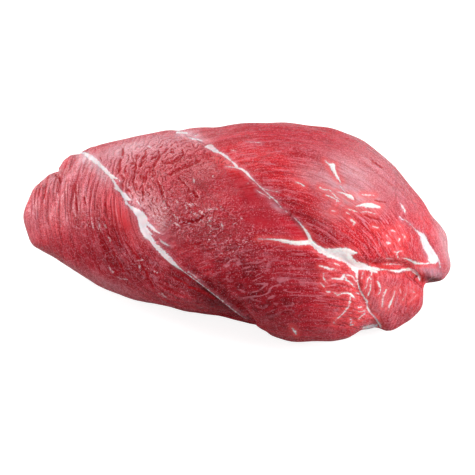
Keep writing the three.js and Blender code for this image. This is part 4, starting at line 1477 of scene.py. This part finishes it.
roughness = w.span(w.noise(place, 260, detail=2.0), 0.35, 0.7, 0.18, 0.34)
lines = w.plus(w.times(crack_out["Line"], crackled), w.times(groove_out["Line"], grooved), crease)
skin = w.math("MAXIMUM", w.attribute("bloom_and_sheen"), w.times(crackled, 0.9))
skin = w.between(skin, 0.02, 0.68)
skin = w.times(skin, w.span(lines, 1.0, 0.0, 0.1, 1.0), w.span(grain, 0.38, 0.56, 0.45, 1.0))
shader = w.add("ShaderNodeBsdfPrincipled", {
    "Base Color": colour, "Roughness": roughness, "Normal": bump, "IOR": 1.40,
    "Subsurface Weight": 0.5, "Subsurface Radius": (1.0, 0.2, 0.15), "Subsurface Scale": 0.0015,
    "Specular IOR Level": 0.1, "Coat Weight": skin, "Coat Roughness": 0.38, "Coat IOR": 1.5,
})
w.feed(w.add("ShaderNodeOutputMaterial").inputs["Surface"], shader.outputs[0])
mesh.materials.append(meat)
print("material", meat.name, "has", len(meat.node_tree.nodes), "nodes")

# %% [markdown]
# ## Floor and light
# The joint lies on a plain white floor. The photograph is brightest on the right-hand end and on top, and
# darkest low on the left of the front. So the strongest soft light stands on the right, weaker ones left,
# above and behind, and only a little comes from the camera's side. The floor glows faintly to the camera so
# that it stays white in the shade, as white acrylic lit from below does.

# %% The floor
FLOOR_COLOUR = (0.42, 0.42, 0.42, 1)
FLOOR_GLOW = 0.86
floor_mesh = bpy.data.meshes.new("floor")
floor_mesh.from_pydata([(-4, -4, 0), (4, -4, 0), (4, 4, 0), (-4, 4, 0)], [], [(0, 1, 2, 3)])
floor = bpy.data.objects.new("floor", floor_mesh)
bpy.context.scene.collection.objects.link(floor)
acrylic = bpy.data.materials.new("white acrylic")
acrylic.use_nodes = True
w = Wiring(acrylic.node_tree)
acrylic_shader = acrylic.node_tree.nodes["Principled BSDF"]
w.feed(acrylic_shader.inputs["Base Color"], FLOOR_COLOUR)
w.feed(acrylic_shader.inputs["Roughness"], 0.9)
w.feed(acrylic_shader.inputs["Emission Color"], (1, 1, 1, 1))
is_camera = w.add("ShaderNodeLightPath").outputs["Is Camera Ray"]
w.feed(acrylic_shader.inputs["Emission Strength"], w.times(is_camera, FLOOR_GLOW))
floor_mesh.materials.append(acrylic)
print("the floor is", acrylic.name)

# %% The lights
MIDDLE_HEIGHT = 0.05


def soft_light(name, azimuth, elevation, distance, size, strength):
    """A round soft light that gives a white surface facing it about that brightness."""
    azimuth, elevation = math.radians(azimuth), math.radians(elevation)
    place = Vector((
        math.sin(azimuth) * math.cos(elevation), -math.cos(azimuth) * math.cos(elevation), math.sin(elevation)
    )) * distance
    data = bpy.data.lights.new(name, "AREA")
    data.shape = "DISK"
    data.size = size
    data.energy = strength * (math.pi * distance) ** 2
    light = bpy.data.objects.new(name, data)
    bpy.context.scene.collection.objects.link(light)
    light.location = place + Vector((0, 0, MIDDLE_HEIGHT))
    light.rotation_euler = (-place).to_track_quat("-Z", "Y").to_euler()
    return light


# Each light: azimuth and elevation in degrees, distance and size in metres, and strength.
LIGHTS = [
    ("right window", 92, 22, 1.6, 0.8, 0.90),
    ("left panel", -90, 18, 1.6, 0.8, 0.76),
    ("back left panel", -135, 26, 1.6, 1.0, 0.31),
    ("back right panel", 165, 24, 1.6, 1.0, 0.24),
    ("overhead", -20, 72, 1.5, 0.7, 0.23),
    ("front fill", 12, 24, 2.4, 2.8, 0.25),
]
for light in LIGHTS:
    soft_light(*light)
ROOM_LIGHT = 0.20
world = bpy.data.worlds.new("room")
world.use_nodes = True
world.node_tree.nodes["Background"].inputs["Color"].default_value = (1, 1, 1, 1)
world.node_tree.nodes["Background"].inputs["Strength"].default_value = ROOM_LIGHT
bpy.context.scene.world = world
bpy.context.scene.view_settings.view_transform = "Standard"
print(len(LIGHTS), "soft lights")
